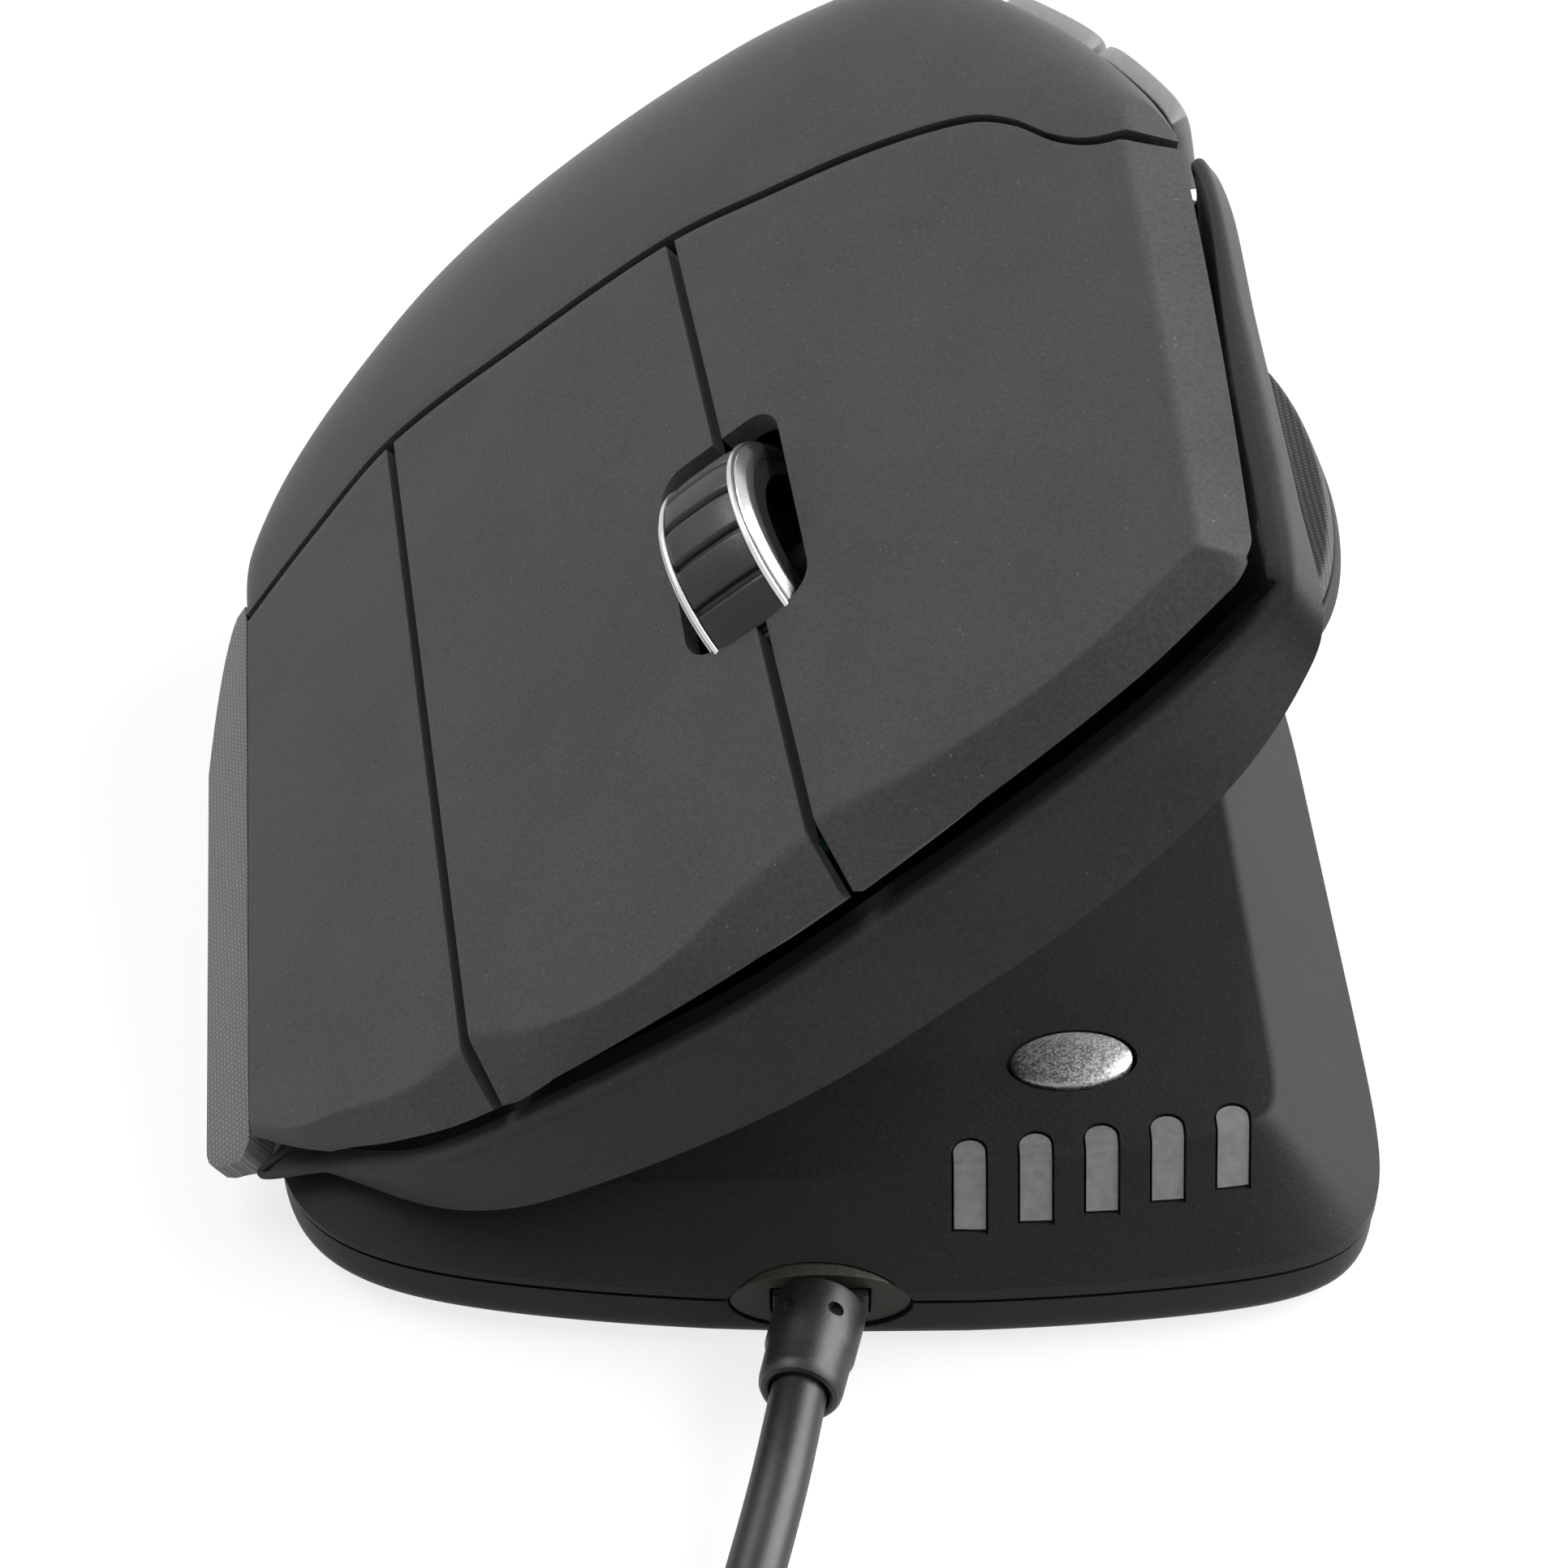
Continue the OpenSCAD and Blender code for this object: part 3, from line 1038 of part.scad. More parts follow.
// Thumb support
module arm_sleeve() {
    color("#2b2b2b") thumb_place() difference() {
        arm_box(sleeve_start, sleeve_start + sleeve_l, sleeve_t + loose);
        arm_box(sleeve_start - 1, sleeve_start + sleeve_l + 1, loose);
    }
}
module thumb_arm() {
    color("#303030") thumb_place() difference() {
        union() {
            arm_box(arm_start, swivel_x - eye_r - 0.8, 0);
            at(arm_start, thumb_y - link_w / 2, thumb_z - eye_t / 2)
                cube([swivel_x - arm_start, link_w, eye_t]);
            at(swivel_x, thumb_y, thumb_z - eye_t / 2) cylinder(r = eye_r, h = eye_t);
        }
        at(swivel_x, thumb_y, thumb_z - 5) cylinder(r = swivel_r + run, h = 10);
    }
}
fork_gap = 0.15;
link_h = eye_t + 2 * fork_gap + 2 * fork_t;
module swivel_link() {
    color("#303030") thumb_place() difference() {
        union() {
            at(swivel_x, thumb_y, thumb_z - link_h / 2) cylinder(r = eye_r, h = link_h);
            at(swivel_x, thumb_y - link_w / 2, thumb_z - link_h / 2)
                cube([tilt_x - swivel_x, link_w, link_h]);
            at(tilt_x, thumb_y - link_w / 2, thumb_z) rod_y(lug_r, link_w);
        }
        at(swivel_x, thumb_y, thumb_z - eye_t / 2 - fork_gap)
            cylinder(r = eye_r + 0.8, h = eye_t + 2 * fork_gap);
        at(swivel_x - 10, thumb_y - 10, thumb_z - eye_t / 2 - fork_gap) cube([10, 20, eye_t + 2 * fork_gap]);
        at(swivel_x, thumb_y, thumb_z - 10) cylinder(r = swivel_r + run, h = 20);
        at(tilt_x, thumb_y - 10, thumb_z) rod_y(swivel_r + run, 20);
    }
}
module swivel_pin() {
    color("#a9abad") thumb_place() at(swivel_x, thumb_y, thumb_z - link_h / 2)
        cylinder(r = swivel_r, h = link_h);
}
tilt_gap = 0.3;
module tilt_pin() {
    color("#a9abad") thumb_place() at(tilt_x, thumb_y - link_w / 2 - tilt_gap - lug_t, thumb_z)
        rod_y(swivel_r, link_w + 2 * (tilt_gap + lug_t));
}
rest_n = 36;
function rest_ring(share, inset, lift) = [
    for (i = [0:rest_n - 1])
        let (w = 360 * i / rest_n)
        [rest_x + (rest_w / 2 - inset) * share * cos(w), thumb_y + (rest_l / 2 - inset) * share * sin(w),
         rest_z + rest_cup * share * share + lift]
];
rest_shares = [0.35, 0.7, 0.9, 1];
module rest_dish(inset, low, thick) {
    loft([for (s = rest_shares) rest_ring(s, inset, low),
          for (i = [3:-1:0]) rest_ring(rest_shares[i], inset, low + thick)],
         [rest_x, thumb_y, rest_z + low], [rest_x, thumb_y, rest_z + low + thick]);
}
module thumb_rest() {
    color("#2b2b2b") thumb_place() difference() {
        union() {
            rest_dish(0, 0, rest_t);
            for (side = [-1, 1]) {
                y = thumb_y + (side > 0 ? link_w / 2 + tilt_gap : -link_w / 2 - tilt_gap - lug_t);
                at(tilt_x, y, thumb_z) rod_y(lug_r, lug_t);
                at(tilt_x - lug_r, y, thumb_z) cube([2 * lug_r, lug_t, rest_z - thumb_z + 0.8]);
            }
        }
        at(tilt_x, thumb_y - 10, thumb_z) rod_y(swivel_r + run, 20);
    }
}
module thumb_pad() {
    color("#3d3f40") thumb_place() rest_dish(0.8, rest_t + seat, pad_t);
}
// Cord, its boot and plug tip, coil, tie and the plug at the far end
boot_way = boot_end - boot_start;
boot_l = norm(boot_way);
boot_turn = atan2(boot_way[0], -boot_way[1]);
module boot_place() { translate(boot_start) rotate([0, 0, boot_turn]) rotate([90, 0, 0]) children(); }
module cord_boot() {
    color("#141414") boot_place() difference() {
        union() {
            stadium(6.6, 5.6, 4);
            cylinder(r1 = 3.1, r2 = 2.9, h = boot_l - 0.02);
        }
        for (x = [-1.9, 1.9]) at(x, 3.1, 2) rotate([90, 0, 0]) cylinder(r = 0.5, h = 1.2);
    }
}
module boot_plug() {
    color("#b9bbbd") at(-3.4, boot_start[1] + 0.35, port_z - 1.1) cube([6.8, port_deep + 5, 2.2]);
}
module cord_lead() { color("#161616") tube(lead_points, cord_d, 8); }
module cord_coil() { color("#161616") tube(coil_path, cord_d, 6); }
module cord_tail() { color("#161616") tube(tail_points, cord_d, 8); }
tie_angle = 300;
tie_w = 5;
tie_half = coil_out - coil_r + cord_d / 2 + 0.3;
tie_top = coil_z + (coil_layers - 1) * coil_pitch + cord_d / 2 + 0.2;
module coil_tie() {
    color("#1a1a1a") at(coil_at[0], coil_at[1], 0) rotate([0, 0, tie_angle])
        at(coil_r, tie_w / 2, 0.1) rotate([90, 0, 0]) linear_extrude(tie_w) difference() {
            at(-tie_half - tie_t, 0, 0) square([2 * (tie_half + tie_t), tie_top + tie_t - 0.1]);
            at(-tie_half, tie_t, 0) square([2 * tie_half, tie_top - tie_t - 0.1]);
        }
}
module plug_grip() {
    color("#141414") translate(plug_at) rotate([0, 0, 180]) rotate([90, 0, 90]) linear_extrude(plug_l) {
        square([plug_w - 3, plug_h], center = true);
        square([plug_w, plug_h - 3], center = true);
        for (i = [-1, 1], j = [-1, 1]) at(i * (plug_w / 2 - 1.5), j * (plug_h / 2 - 1.5), 0) circle(1.5);
    }
}
module plug_shell() {
    color("#c4c6c8") at(plug_at[0] - plug_l - shell_l - seat, plug_at[1], plug_at[2]) difference() {
        at(0, -shell_w / 2, -shell_h / 2) cube([shell_l, shell_w, shell_h]);
        at(-1, -shell_w / 2 + 0.4, -shell_h / 2 + 0.4) cube([shell_l, shell_w - 0.8, shell_h - 0.8]);
    }
}
module plug_tongue() {
    color("#e6e6e6") translate(plug_at)
        at(0.6 - plug_l - shell_l, 0.4 + seat - shell_w / 2, 0.4 + seat - shell_h / 2)
            cube([shell_l - 1.7, shell_w - 0.8 - 2 * seat, 1.6]);
}

place() base_bottom();
place() base_top();
place() glide_feet();
place() base_screws();
place() base_board();
place() sensor_chip();
place() sensor_lens();
place() dpi_button();
place() dpi_plunger();
place() dpi_switch();
place() light_pipes();
place() indicator_leds();
place() port_bezel();
place() cord_socket();
place() hinge_pin();
place() hinge_washers();
place() lower_shell();
place() palm_cover();
place() left_button();
place() right_button();
place() third_button();
place() side_grip();
place() thumb_button_front();
place() thumb_button_back();
place() key_frame();
place() body_board();
place() body_screws();
place() board_screws();
place() key_switches();
place() left_plunger();
place() right_plunger();
place() third_plunger();
place() thumb_switches();
place() front_plunger();
place() back_plunger();
place() wheel_hub();
place() wheel_tyre();
place() wheel_rings();
place() wheel_carrier();
place() scroll_sensors();
place() click_switch();
place() click_plunger();
place() arm_sleeve();
place() thumb_arm();
place() swivel_link();
place() swivel_pin();
place() tilt_pin();
place() thumb_rest();
place() thumb_pad();
place() cord_boot();
place() boot_plug();
place() cord_lead();
place() cord_coil();
place() cord_tail();
place() coil_tie();
place() plug_grip();
place() plug_shell();
place() plug_tongue();
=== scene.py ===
"""Vertical mouse with a tilting upper body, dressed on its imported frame."""
from math import atan2, cos, floor, pi, radians, sin, sqrt, tan

import bmesh
import bpy
from mathutils import Matrix, Vector


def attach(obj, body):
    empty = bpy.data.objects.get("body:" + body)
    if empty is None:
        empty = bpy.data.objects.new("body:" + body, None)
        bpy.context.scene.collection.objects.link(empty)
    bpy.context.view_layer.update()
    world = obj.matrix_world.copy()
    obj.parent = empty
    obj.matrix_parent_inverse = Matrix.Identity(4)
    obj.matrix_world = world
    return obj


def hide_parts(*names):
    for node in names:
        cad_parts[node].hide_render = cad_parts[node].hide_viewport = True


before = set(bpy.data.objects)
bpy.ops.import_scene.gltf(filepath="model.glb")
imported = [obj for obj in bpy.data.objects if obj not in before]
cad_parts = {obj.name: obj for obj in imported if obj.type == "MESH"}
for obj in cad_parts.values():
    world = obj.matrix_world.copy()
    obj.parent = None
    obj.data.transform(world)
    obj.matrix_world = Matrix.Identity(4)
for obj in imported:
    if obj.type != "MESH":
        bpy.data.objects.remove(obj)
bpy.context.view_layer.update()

# Frames: all shapes are drawn in millimetres, on the base or in the tilted upper body, and then placed
MM = 0.001
BASE_AT = Vector((4.08, 3.47, 0))
TILT = radians(40)
HINGE = Vector((-39, 0, 7))
HINGE_IN_BODY = Vector((-6.5, 0, 2.55))
BASE = Matrix.Scale(MM, 4) @ Matrix.Translation(BASE_AT)
BODY = (BASE @ Matrix.Translation(HINGE) @ Matrix.Rotation(-TILT, 4, "Y")
        @ Matrix.Translation(-HINGE_IN_BODY))


# Curves and blends
def clamp(x):
    return min(max(x, 0.0), 1.0)


def mix(p, q, t):
    return p + (q - p) * t


def ease(t):
    x = clamp(t)
    return x * x * (3 - 2 * x)


def soft_max(p, q, k):
    h = clamp(0.5 + 0.5 * (p - q) / k)
    return mix(q, p, h) + k * h * (1 - h)


def smooth(p0, p1, p2, p3, t):
    return 0.5 * (2 * p1 + (p2 - p0) * t + (2 * p0 - 5 * p1 + 4 * p2 - p3) * t * t
                  + (3 * p1 - p0 - 3 * p2 + p3) * t * t * t)


def along(points, u):
    last = len(points) - 1
    s = clamp(u) * last
    i = min(int(s), last - 1)
    p = [points[min(max(k, 0), last)] for k in (i - 1, i, i + 1, i + 2)]
    return smooth(*p, s - i)


def rise(p, i):
    lo, hi = max(i - 1, 0), min(i + 1, len(p) - 1)
    return (p[hi][1] - p[lo][1]) / (p[hi][0] - p[lo][0])


def height_at(p, x):
    i = max([0] + [k for k in range(len(p) - 1) if p[k][0] <= x])
    w = p[i + 1][0] - p[i][0]
    t = clamp((x - p[i][0]) / w)
    m0, m1 = rise(p, i) * w, rise(p, i + 1) * w
    return ((2 * t ** 3 - 3 * t ** 2 + 1) * p[i][1] + (t ** 3 - 2 * t ** 2 + t) * m0
            + (3 * t ** 2 - 2 * t ** 3) * p[i + 1][1] + (t ** 3 - t ** 2) * m1)


# Materials
def tint(hex_colour):
    """Linear colour of an sRGB hex value."""
    parts = [int(hex_colour[i:i + 2], 16) / 255 for i in (1, 3, 5)]
    return (*[x / 12.92 if x <= 0.04045 else ((x + 0.055) / 1.055) ** 2.4 for x in parts], 1)


def put(tree, kind, settings=None, links=None):
    """One node with its settings, with hex colours for a ramp's stops, and links into its sockets."""
    n = tree.nodes.new(kind)
    for key, value in (settings or {}).items():
        if key == "stops":
            for stop, (position, colour) in zip(n.color_ramp.elements, value):
                stop.position, stop.color = position, tint(colour)
        elif isinstance(key, str) and hasattr(n, key):
            setattr(n, key, value)
        else:
            n.inputs[key].default_value = value
    for key, source in (links or {}).items():
        tree.links.new(source, n.inputs[key])
    return n


def finish_of(name, **surface):
    """A new material, its node tree, its surface shader and its Object coordinates."""
    m = bpy.data.materials.new(name)
    m.use_nodes = True
    tree = m.node_tree
    shader = tree.nodes["Principled BSDF"]
    for key, value in surface.items():
        shader.inputs[key.replace("_", " ")].default_value = value
    return m, tree, shader, put(tree, "ShaderNodeTexCoord").outputs["Object"]


def per_mm(size):
    """Scale of a pattern whose cells are this many millimetres wide."""
    return 1 / (size * MM)


# Flecks: width of their cells, a fleck's share of its cell, and the share of cells without one
FLECK_GAP, FLECK_R, FLECK_SKIP = 1.0, 0.08, 0.7
MOTTLE = 9


def moulded(name, colour, pale, rough, grain, depth, level=0.3, fleck=None, sheen=0.0):
    """Moulded plastic or rubber: a fine grain from the mould, with faint mottling and small pale flecks."""
    m, tree, shader, coords = finish_of(name, Specular_IOR_Level=level, Sheen_Weight=sheen,
                                        Sheen_Roughness=0.3)
    grains = put(tree, "ShaderNodeTexNoise", {"Scale": per_mm(grain), "Detail": 3.0, "Roughness": 0.6},
                 {"Vector": coords})
    clouds = put(tree, "ShaderNodeTexNoise", {"Scale": per_mm(MOTTLE), "Detail": 2.0}, {"Vector": coords})
    blend = put(tree, "ShaderNodeMath", {"operation": "MULTIPLY_ADD", 1: 0.75},
                {0: grains.outputs[0]})
    part = put(tree, "ShaderNodeMath", {"operation": "MULTIPLY", 1: 0.25}, {0: clouds.outputs[0]})
    tree.links.new(part.outputs[0], blend.inputs[2])
    ramp = put(tree, "ShaderNodeValToRGB", {"stops": ((0.3, colour), (0.72, pale))},
               {"Fac": blend.outputs[0]})
    shown = ramp.outputs["Color"]
    if fleck:
        cells = put(tree, "ShaderNodeTexVoronoi", {"Scale": per_mm(FLECK_GAP)}, {"Vector": coords})
        near = put(tree, "ShaderNodeMath", {"operation": "LESS_THAN", 1: FLECK_R},
                   {0: cells.outputs["Distance"]})
        chosen = put(tree, "ShaderNodeSeparateColor", {}, {"Color": cells.outputs["Color"]})
        some = put(tree, "ShaderNodeMath", {"operation": "GREATER_THAN", 1: FLECK_SKIP},
                   {0: chosen.outputs[0]})
        both = put(tree, "ShaderNodeMath", {"operation": "MULTIPLY"},
                   {0: near.outputs[0], 1: some.outputs[0]})
        dots = put(tree, "ShaderNodeMix", {"data_type": "RGBA"},
                   {"Factor": both.outputs[0], 6: shown})
        dots.inputs[7].default_value = tint(fleck)
        shown = dots.outputs[2]
    tree.links.new(shown, shader.inputs["Base Color"])
    dull = put(tree, "ShaderNodeMapRange", {"To Min": rough - 0.06, "To Max": rough + 0.08},
               {"Value": grains.outputs[0]})
    tree.links.new(dull.outputs[0], shader.inputs["Roughness"])
    bump = put(tree, "ShaderNodeBump", {"Strength": 0.5, "Distance": depth * MM},
               {"Height": grains.outputs[0]})
    tree.links.new(bump.outputs[0], shader.inputs["Normal"])
    return m


def metal(name, colour, rough, grain, stretch=(1, 1, 1)):
    """Plated or turned metal: bright, with fine marks that break up its reflections."""
    m, tree, shader, coords = finish_of(name, Metallic=1.0, Base_Color=tint(colour))
    turned = put(tree, "ShaderNodeMapping", {"Scale": stretch}, {"Vector": coords})
    marks = put(tree, "ShaderNodeTexNoise", {"Scale": per_mm(grain), "Detail": 4.0},
                {"Vector": turned.outputs[0]})
    dull = put(tree, "ShaderNodeMapRange", {"To Min": rough * 0.7, "To Max": rough * 1.4},
               {"Value": marks.outputs[0]})
    tree.links.new(dull.outputs[0], shader.inputs["Roughness"])
    bump = put(tree, "ShaderNodeBump", {"Strength": 0.15, "Distance": 0.02 * MM},
               {"Height": marks.outputs[0]})
    tree.links.new(bump.outputs[0], shader.inputs["Normal"])
    return m


# ABS with a soft-touch lacquer: dull charcoal, with a fine sandy grain and faint pale specks
DECK = moulded("soft_touch_abs", "#323232", "#444444", 0.6, 0.3, 0.06, 0.14, "#5a5a5a", 0.12)
# The same lacquer on the lower shell, made darker as painted shade, since that shell faces down and away from
# the light
HULL_SHADED = moulded("soft_touch_abs_painted_shade", "#262626", "#343434", 0.58, 0.3, 0.06, 0.12, "#444444", 0.12)
# Bare moulded ABS, near black
BLACK = moulded("moulded_abs_black", "#151515", "#212121", 0.52, 0.3, 0.06, 0.12, "#303030", 0.08)
# Plain inner mouldings
INNER = moulded("inner_abs", "#0f0f10", "#161617", 0.55, 0.5, 0.03, 0.2)
SWITCH = moulded("switch_body_pbt", "#17181c", "#202228", 0.45, 0.6, 0.02)
CREAM = moulded("plunger_pom", "#d2ccba", "#dcd7c8", 0.4, 0.6, 0.02)
RED = moulded("plunger_pom_red", "#a93026", "#bd3d31", 0.4, 0.6, 0.02)
WHITE = moulded("tongue_pbt", "#d8d8d8", "#e4e4e4", 0.4, 0.6, 0.02)
# Slick glide feet, faintly mottled
GLIDE = moulded("glide_ptfe", "#0c0c0c", "#141414", 0.32, 0.8, 0.02)
# Thumb buttons: smooth ABS, glossier than the shells; their light grey colour is a painted highlight, the
# white surroundings reflected at a grazing angle
THUMB_KEY_PAINTED_HIGHLIGHT = moulded("thumb_key_abs_painted_highlight", "#7c7d7d", "#8a8b8b", 0.34, 0.5, 0.02, 0.5)
# Moulded PVC of the cord and its boot: smooth and slightly shiny
PVC = moulded("cord_pvc", "#0d0d0d", "#131313", 0.42, 0.6, 0.03, 0.4)
# Natural rubber tyre, dull with fine dust in its grain
TYRE = moulded("wheel_rubber", "#121212", "#1c1c1c", 0.42, 0.4, 0.04, 0.4)
# Olive-black moulding round the cord's port
BEZEL = moulded("port_abs", "#24221d", "#2d2b25", 0.5, 0.4, 0.04, 0.25)
# Fibreglass circuit board under a green lacquer
BOARD = moulded("circuit_board", "#174a2b", "#1f6238", 0.3, 1.6, 0.03, 0.5)
LAMP = moulded("lamp_epoxy", "#dcd6c4", "#ece8dc", 0.25, 0.8, 0.01, 0.5)
CHROME = metal("chrome_plate", "#cfcfcf", 0.2, 0.5)
STEEL = metal("zinc_steel", "#a9abad", 0.32, 0.4, (1, 6, 1))
BRASS = metal("sheet_brass", "#c2a360", 0.34, 0.4, (1, 6, 1))

# Real flakes are finer: these are as fine as the render shows
FLAKE = 0.16


def silver_paint():
    """Metallic lacquer: aluminium flakes sparkle in a grey base."""
    m, tree, shader, coords = finish_of("silver_lacquer", Metallic=0.85, Coat_Weight=0.15, Coat_Roughness=0.3)
    flakes = put(tree, "ShaderNodeTexVoronoi", {"Scale": per_mm(FLAKE)}, {"Vector": coords})
    grey = put(tree, "ShaderNodeSeparateColor", {}, {"Color": flakes.outputs["Color"]})
    ramp = put(tree, "ShaderNodeValToRGB", {"stops": ((0, "#7a7b7c"), (1, "#adafb0"))},
               {"Fac": grey.outputs[0]})
    tree.links.new(ramp.outputs["Color"], shader.inputs["Base Color"])
    dull = put(tree, "ShaderNodeMapRange", {"To Min": 0.3, "To Max": 0.52}, {"Value": grey.outputs[0]})
    tree.links.new(dull.outputs[0], shader.inputs["Roughness"])
    bump = put(tree, "ShaderNodeBump", {"Strength": 0.35, "Distance": 0.03 * MM}, {"Height": grey.outputs[0]})
    tree.links.new(bump.outputs[0], shader.inputs["Normal"])
    return m


def smoked_acrylic():
    """Smoky light pipe: a milky grey acrylic that looks soft under its polished face."""
    m, tree, shader, coords = finish_of("smoked_acrylic", Roughness=0.3, IOR=1.49, Coat_Weight=0.2,
                                        Subsurface_Weight=0.2, Subsurface_Scale=0.002)
    clouds = put(tree, "ShaderNodeTexNoise", {"Scale": per_mm(0.7), "Detail": 3.0}, {"Vector": coords})
    ramp = put(tree, "ShaderNodeValToRGB", {"stops": ((0.3, "#606060"), (0.7, "#707070"))},
               {"Fac": clouds.outputs[0]})
    tree.links.new(ramp.outputs["Color"], shader.inputs["Base Color"])
    return m


# Spacing of the woven threads, and size of the fuzz on them
THREAD, FUZZ = 0.45, 0.25


def woven_rubber(name, colour, pale, turn):
    """Rubber pressed against cloth: a plain weave of threads stands out of it."""
    m, tree, shader, coords = finish_of(name, Specular_IOR_Level=0.3)
    laid = put(tree, "ShaderNodeMapping", {"Rotation": turn}, {"Vector": coords})
    threads = []
    for direction in ("X", "Y"):
        threads.append(put(tree, "ShaderNodeTexWave", {
            "bands_direction": direction, "Scale": per_mm(THREAD) * pi / 10, "Distortion": 1.2, "Detail": 2.0,
            "Detail Scale": 2.0}, {"Vector": laid.outputs[0]}))
    weave = put(tree, "ShaderNodeMath", {"operation": "MULTIPLY"},
                {0: threads[0].outputs["Fac"], 1: threads[1].outputs["Fac"]})
    fuzz = put(tree, "ShaderNodeTexNoise", {"Scale": per_mm(FUZZ), "Detail": 3.0}, {"Vector": coords})
    rough_weave = put(tree, "ShaderNodeMath", {"operation": "MULTIPLY"},
                      {0: weave.outputs[0], 1: fuzz.outputs[0]})
    ramp = put(tree, "ShaderNodeValToRGB", {"stops": ((0.05, colour), (0.45, pale))},
               {"Fac": rough_weave.outputs[0]})
    tree.links.new(ramp.outputs["Color"], shader.inputs["Base Color"])
    dull = put(tree, "ShaderNodeMapRange", {"To Min": 0.75, "To Max": 0.6}, {"Value": rough_weave.outputs[0]})
    tree.links.new(dull.outputs[0], shader.inputs["Roughness"])
    bump = put(tree, "ShaderNodeBump", {"Strength": 0.7, "Distance": 0.12 * MM},
               {"Height": rough_weave.outputs[0]})
    tree.links.new(bump.outputs[0], shader.inputs["Normal"])
    return m


def clear_lens():
    """Clear moulded polycarbonate with faint flow marks."""
    m, tree, shader, coords = finish_of("clear_polycarbonate", Transmission_Weight=0.9, IOR=1.585,
                                        Base_Color=tint("#e4ecf0"))
    flow = put(tree, "ShaderNodeTexNoise", {"Scale": per_mm(3), "Detail": 2.0}, {"Vector": coords})
    dull = put(tree, "ShaderNodeMapRange", {"To Min": 0.03, "To Max": 0.1}, {"Value": flow.outputs[0]})
    tree.links.new(dull.outputs[0], shader.inputs["Roughness"])
    return m


SILVER = silver_paint()
ACRYLIC = smoked_acrylic()
LENS = clear_lens()
GRIP = woven_rubber("woven_grip_rubber", "#585a5a", "#747676", (0, TILT, 0))
PAD = woven_rubber("woven_pad_rubber", "#2a2b2c", "#4c4e4f", (0, 0, 0))


# Shapes
def add(name, data):
    """A new object in the scene."""
    ob = bpy.data.objects.new(name, data)
    bpy.context.scene.collection.objects.link(ob)
    return ob


def grid(cols, rows, place):
    """A sheet of cols by rows faces, each corner put where place(u, v) says."""
    bm = bmesh.new()
    bmesh.ops.create_grid(bm, x_segments=cols, y_segments=rows, size=0.5)
    for v in bm.verts:
        v.co = place(clamp(v.co.x + 0.5), clamp(v.co.y + 0.5))
    return bm


def sew(bm, near=1e-4):
    """Closes a sheet that has been wrapped round."""
    bmesh.ops.remove_doubles(bm, verts=bm.verts[:], dist=near)
    return bm


def outward(bm):
    """Turns every face of a closed shape outwards."""
    bmesh.ops.recalc_face_normals(bm, faces=bm.faces[:])
    return bm


def cap(bm, chosen):
    """Fills the open edges that chosen accepts with one face."""
    edges = [e for e in bm.edges if e.is_boundary and all(chosen(v.co) for v in e.verts)]
    bmesh.ops.edgeloop_fill(bm, edges=edges)
    return edges


def soften(bm, edges, width, segments):
    bmesh.ops.bevel(bm, geom=edges, offset=width, offset_type="OFFSET", segments=segments, profile=0.5,
                    affect="EDGES", material=-1, clamp_overlap=True)


def rod(r, length, at, direction="Y", sides=64):
    """A round bar that starts at a point and runs along an axis."""
    bm = bmesh.new()
    turn = {"Y": Matrix.Rotation(-pi / 2, 4, "X"), "Z": Matrix.Identity(4)}[direction]
    place = Matrix.Translation(Vector(at)) @ turn @ Matrix.Translation((0, 0, length / 2))
    bmesh.ops.create_cone(bm, cap_ends=True, segments=sides, radius1=r, radius2=r, depth=length, matrix=place)
    return bm


def block(low, high):
    bm = bmesh.new()
    size = Vector(high) - Vector(low)
    place = Matrix.Translation((Vector(low) + Vector(high)) / 2) @ Matrix.Diagonal((*size, 1))
    bmesh.ops.create_cube(bm, size=1, matrix=place)
    return bm


def prism(outline, low, high):
    """A plan outline raised from one level to another."""
    bm = bmesh.new()
    face = bm.faces.new([bm.verts.new((x, y, low)) for x, y in outline])
    raised = bmesh.ops.extrude_face_region(bm, geom=[face])["geom"]
    for v in raised:
        if isinstance(v, bmesh.types.BMVert):
            v.co.z = high
    return outward(bm)


def oval(l, w, n=96, at=(0, 0)):
    return [(at[0] + l / 2 * cos(2 * pi * i / n), at[1] + w / 2 * sin(2 * pi * i / n)) for i in range(n)]


def stadium(l, w, at, turn=0, n=24):
    """Plan of a plate with round ends."""
    ends = [((l - w) / 2 * s + w / 2 * cos(t), w / 2 * sin(t)) for s, start in ((1, -pi / 2), (-1, pi / 2))
            for t in [start + pi * k / n for k in range(n + 1)]]
    c, s = cos(turn), sin(turn)
    return [(at[0] + x * c - y * s, at[1] + x * s + y * c) for x, y in ends]


def gather(*shapes):
    """Several separate shapes in one mesh."""
    bm = bmesh.new()
    for shape in shapes:
        part = bpy.data.meshes.new("part")
        shape.to_mesh(part)
        shape.free()
        bm.from_mesh(part)
        bpy.data.meshes.remove(part)
    return bm


def loose(bm):
    """An object for a shape that only cuts or joins another."""
    mesh = bpy.data.meshes.new("tool")
    bm.to_mesh(mesh)
    bm.free()
    return add("tool", mesh)


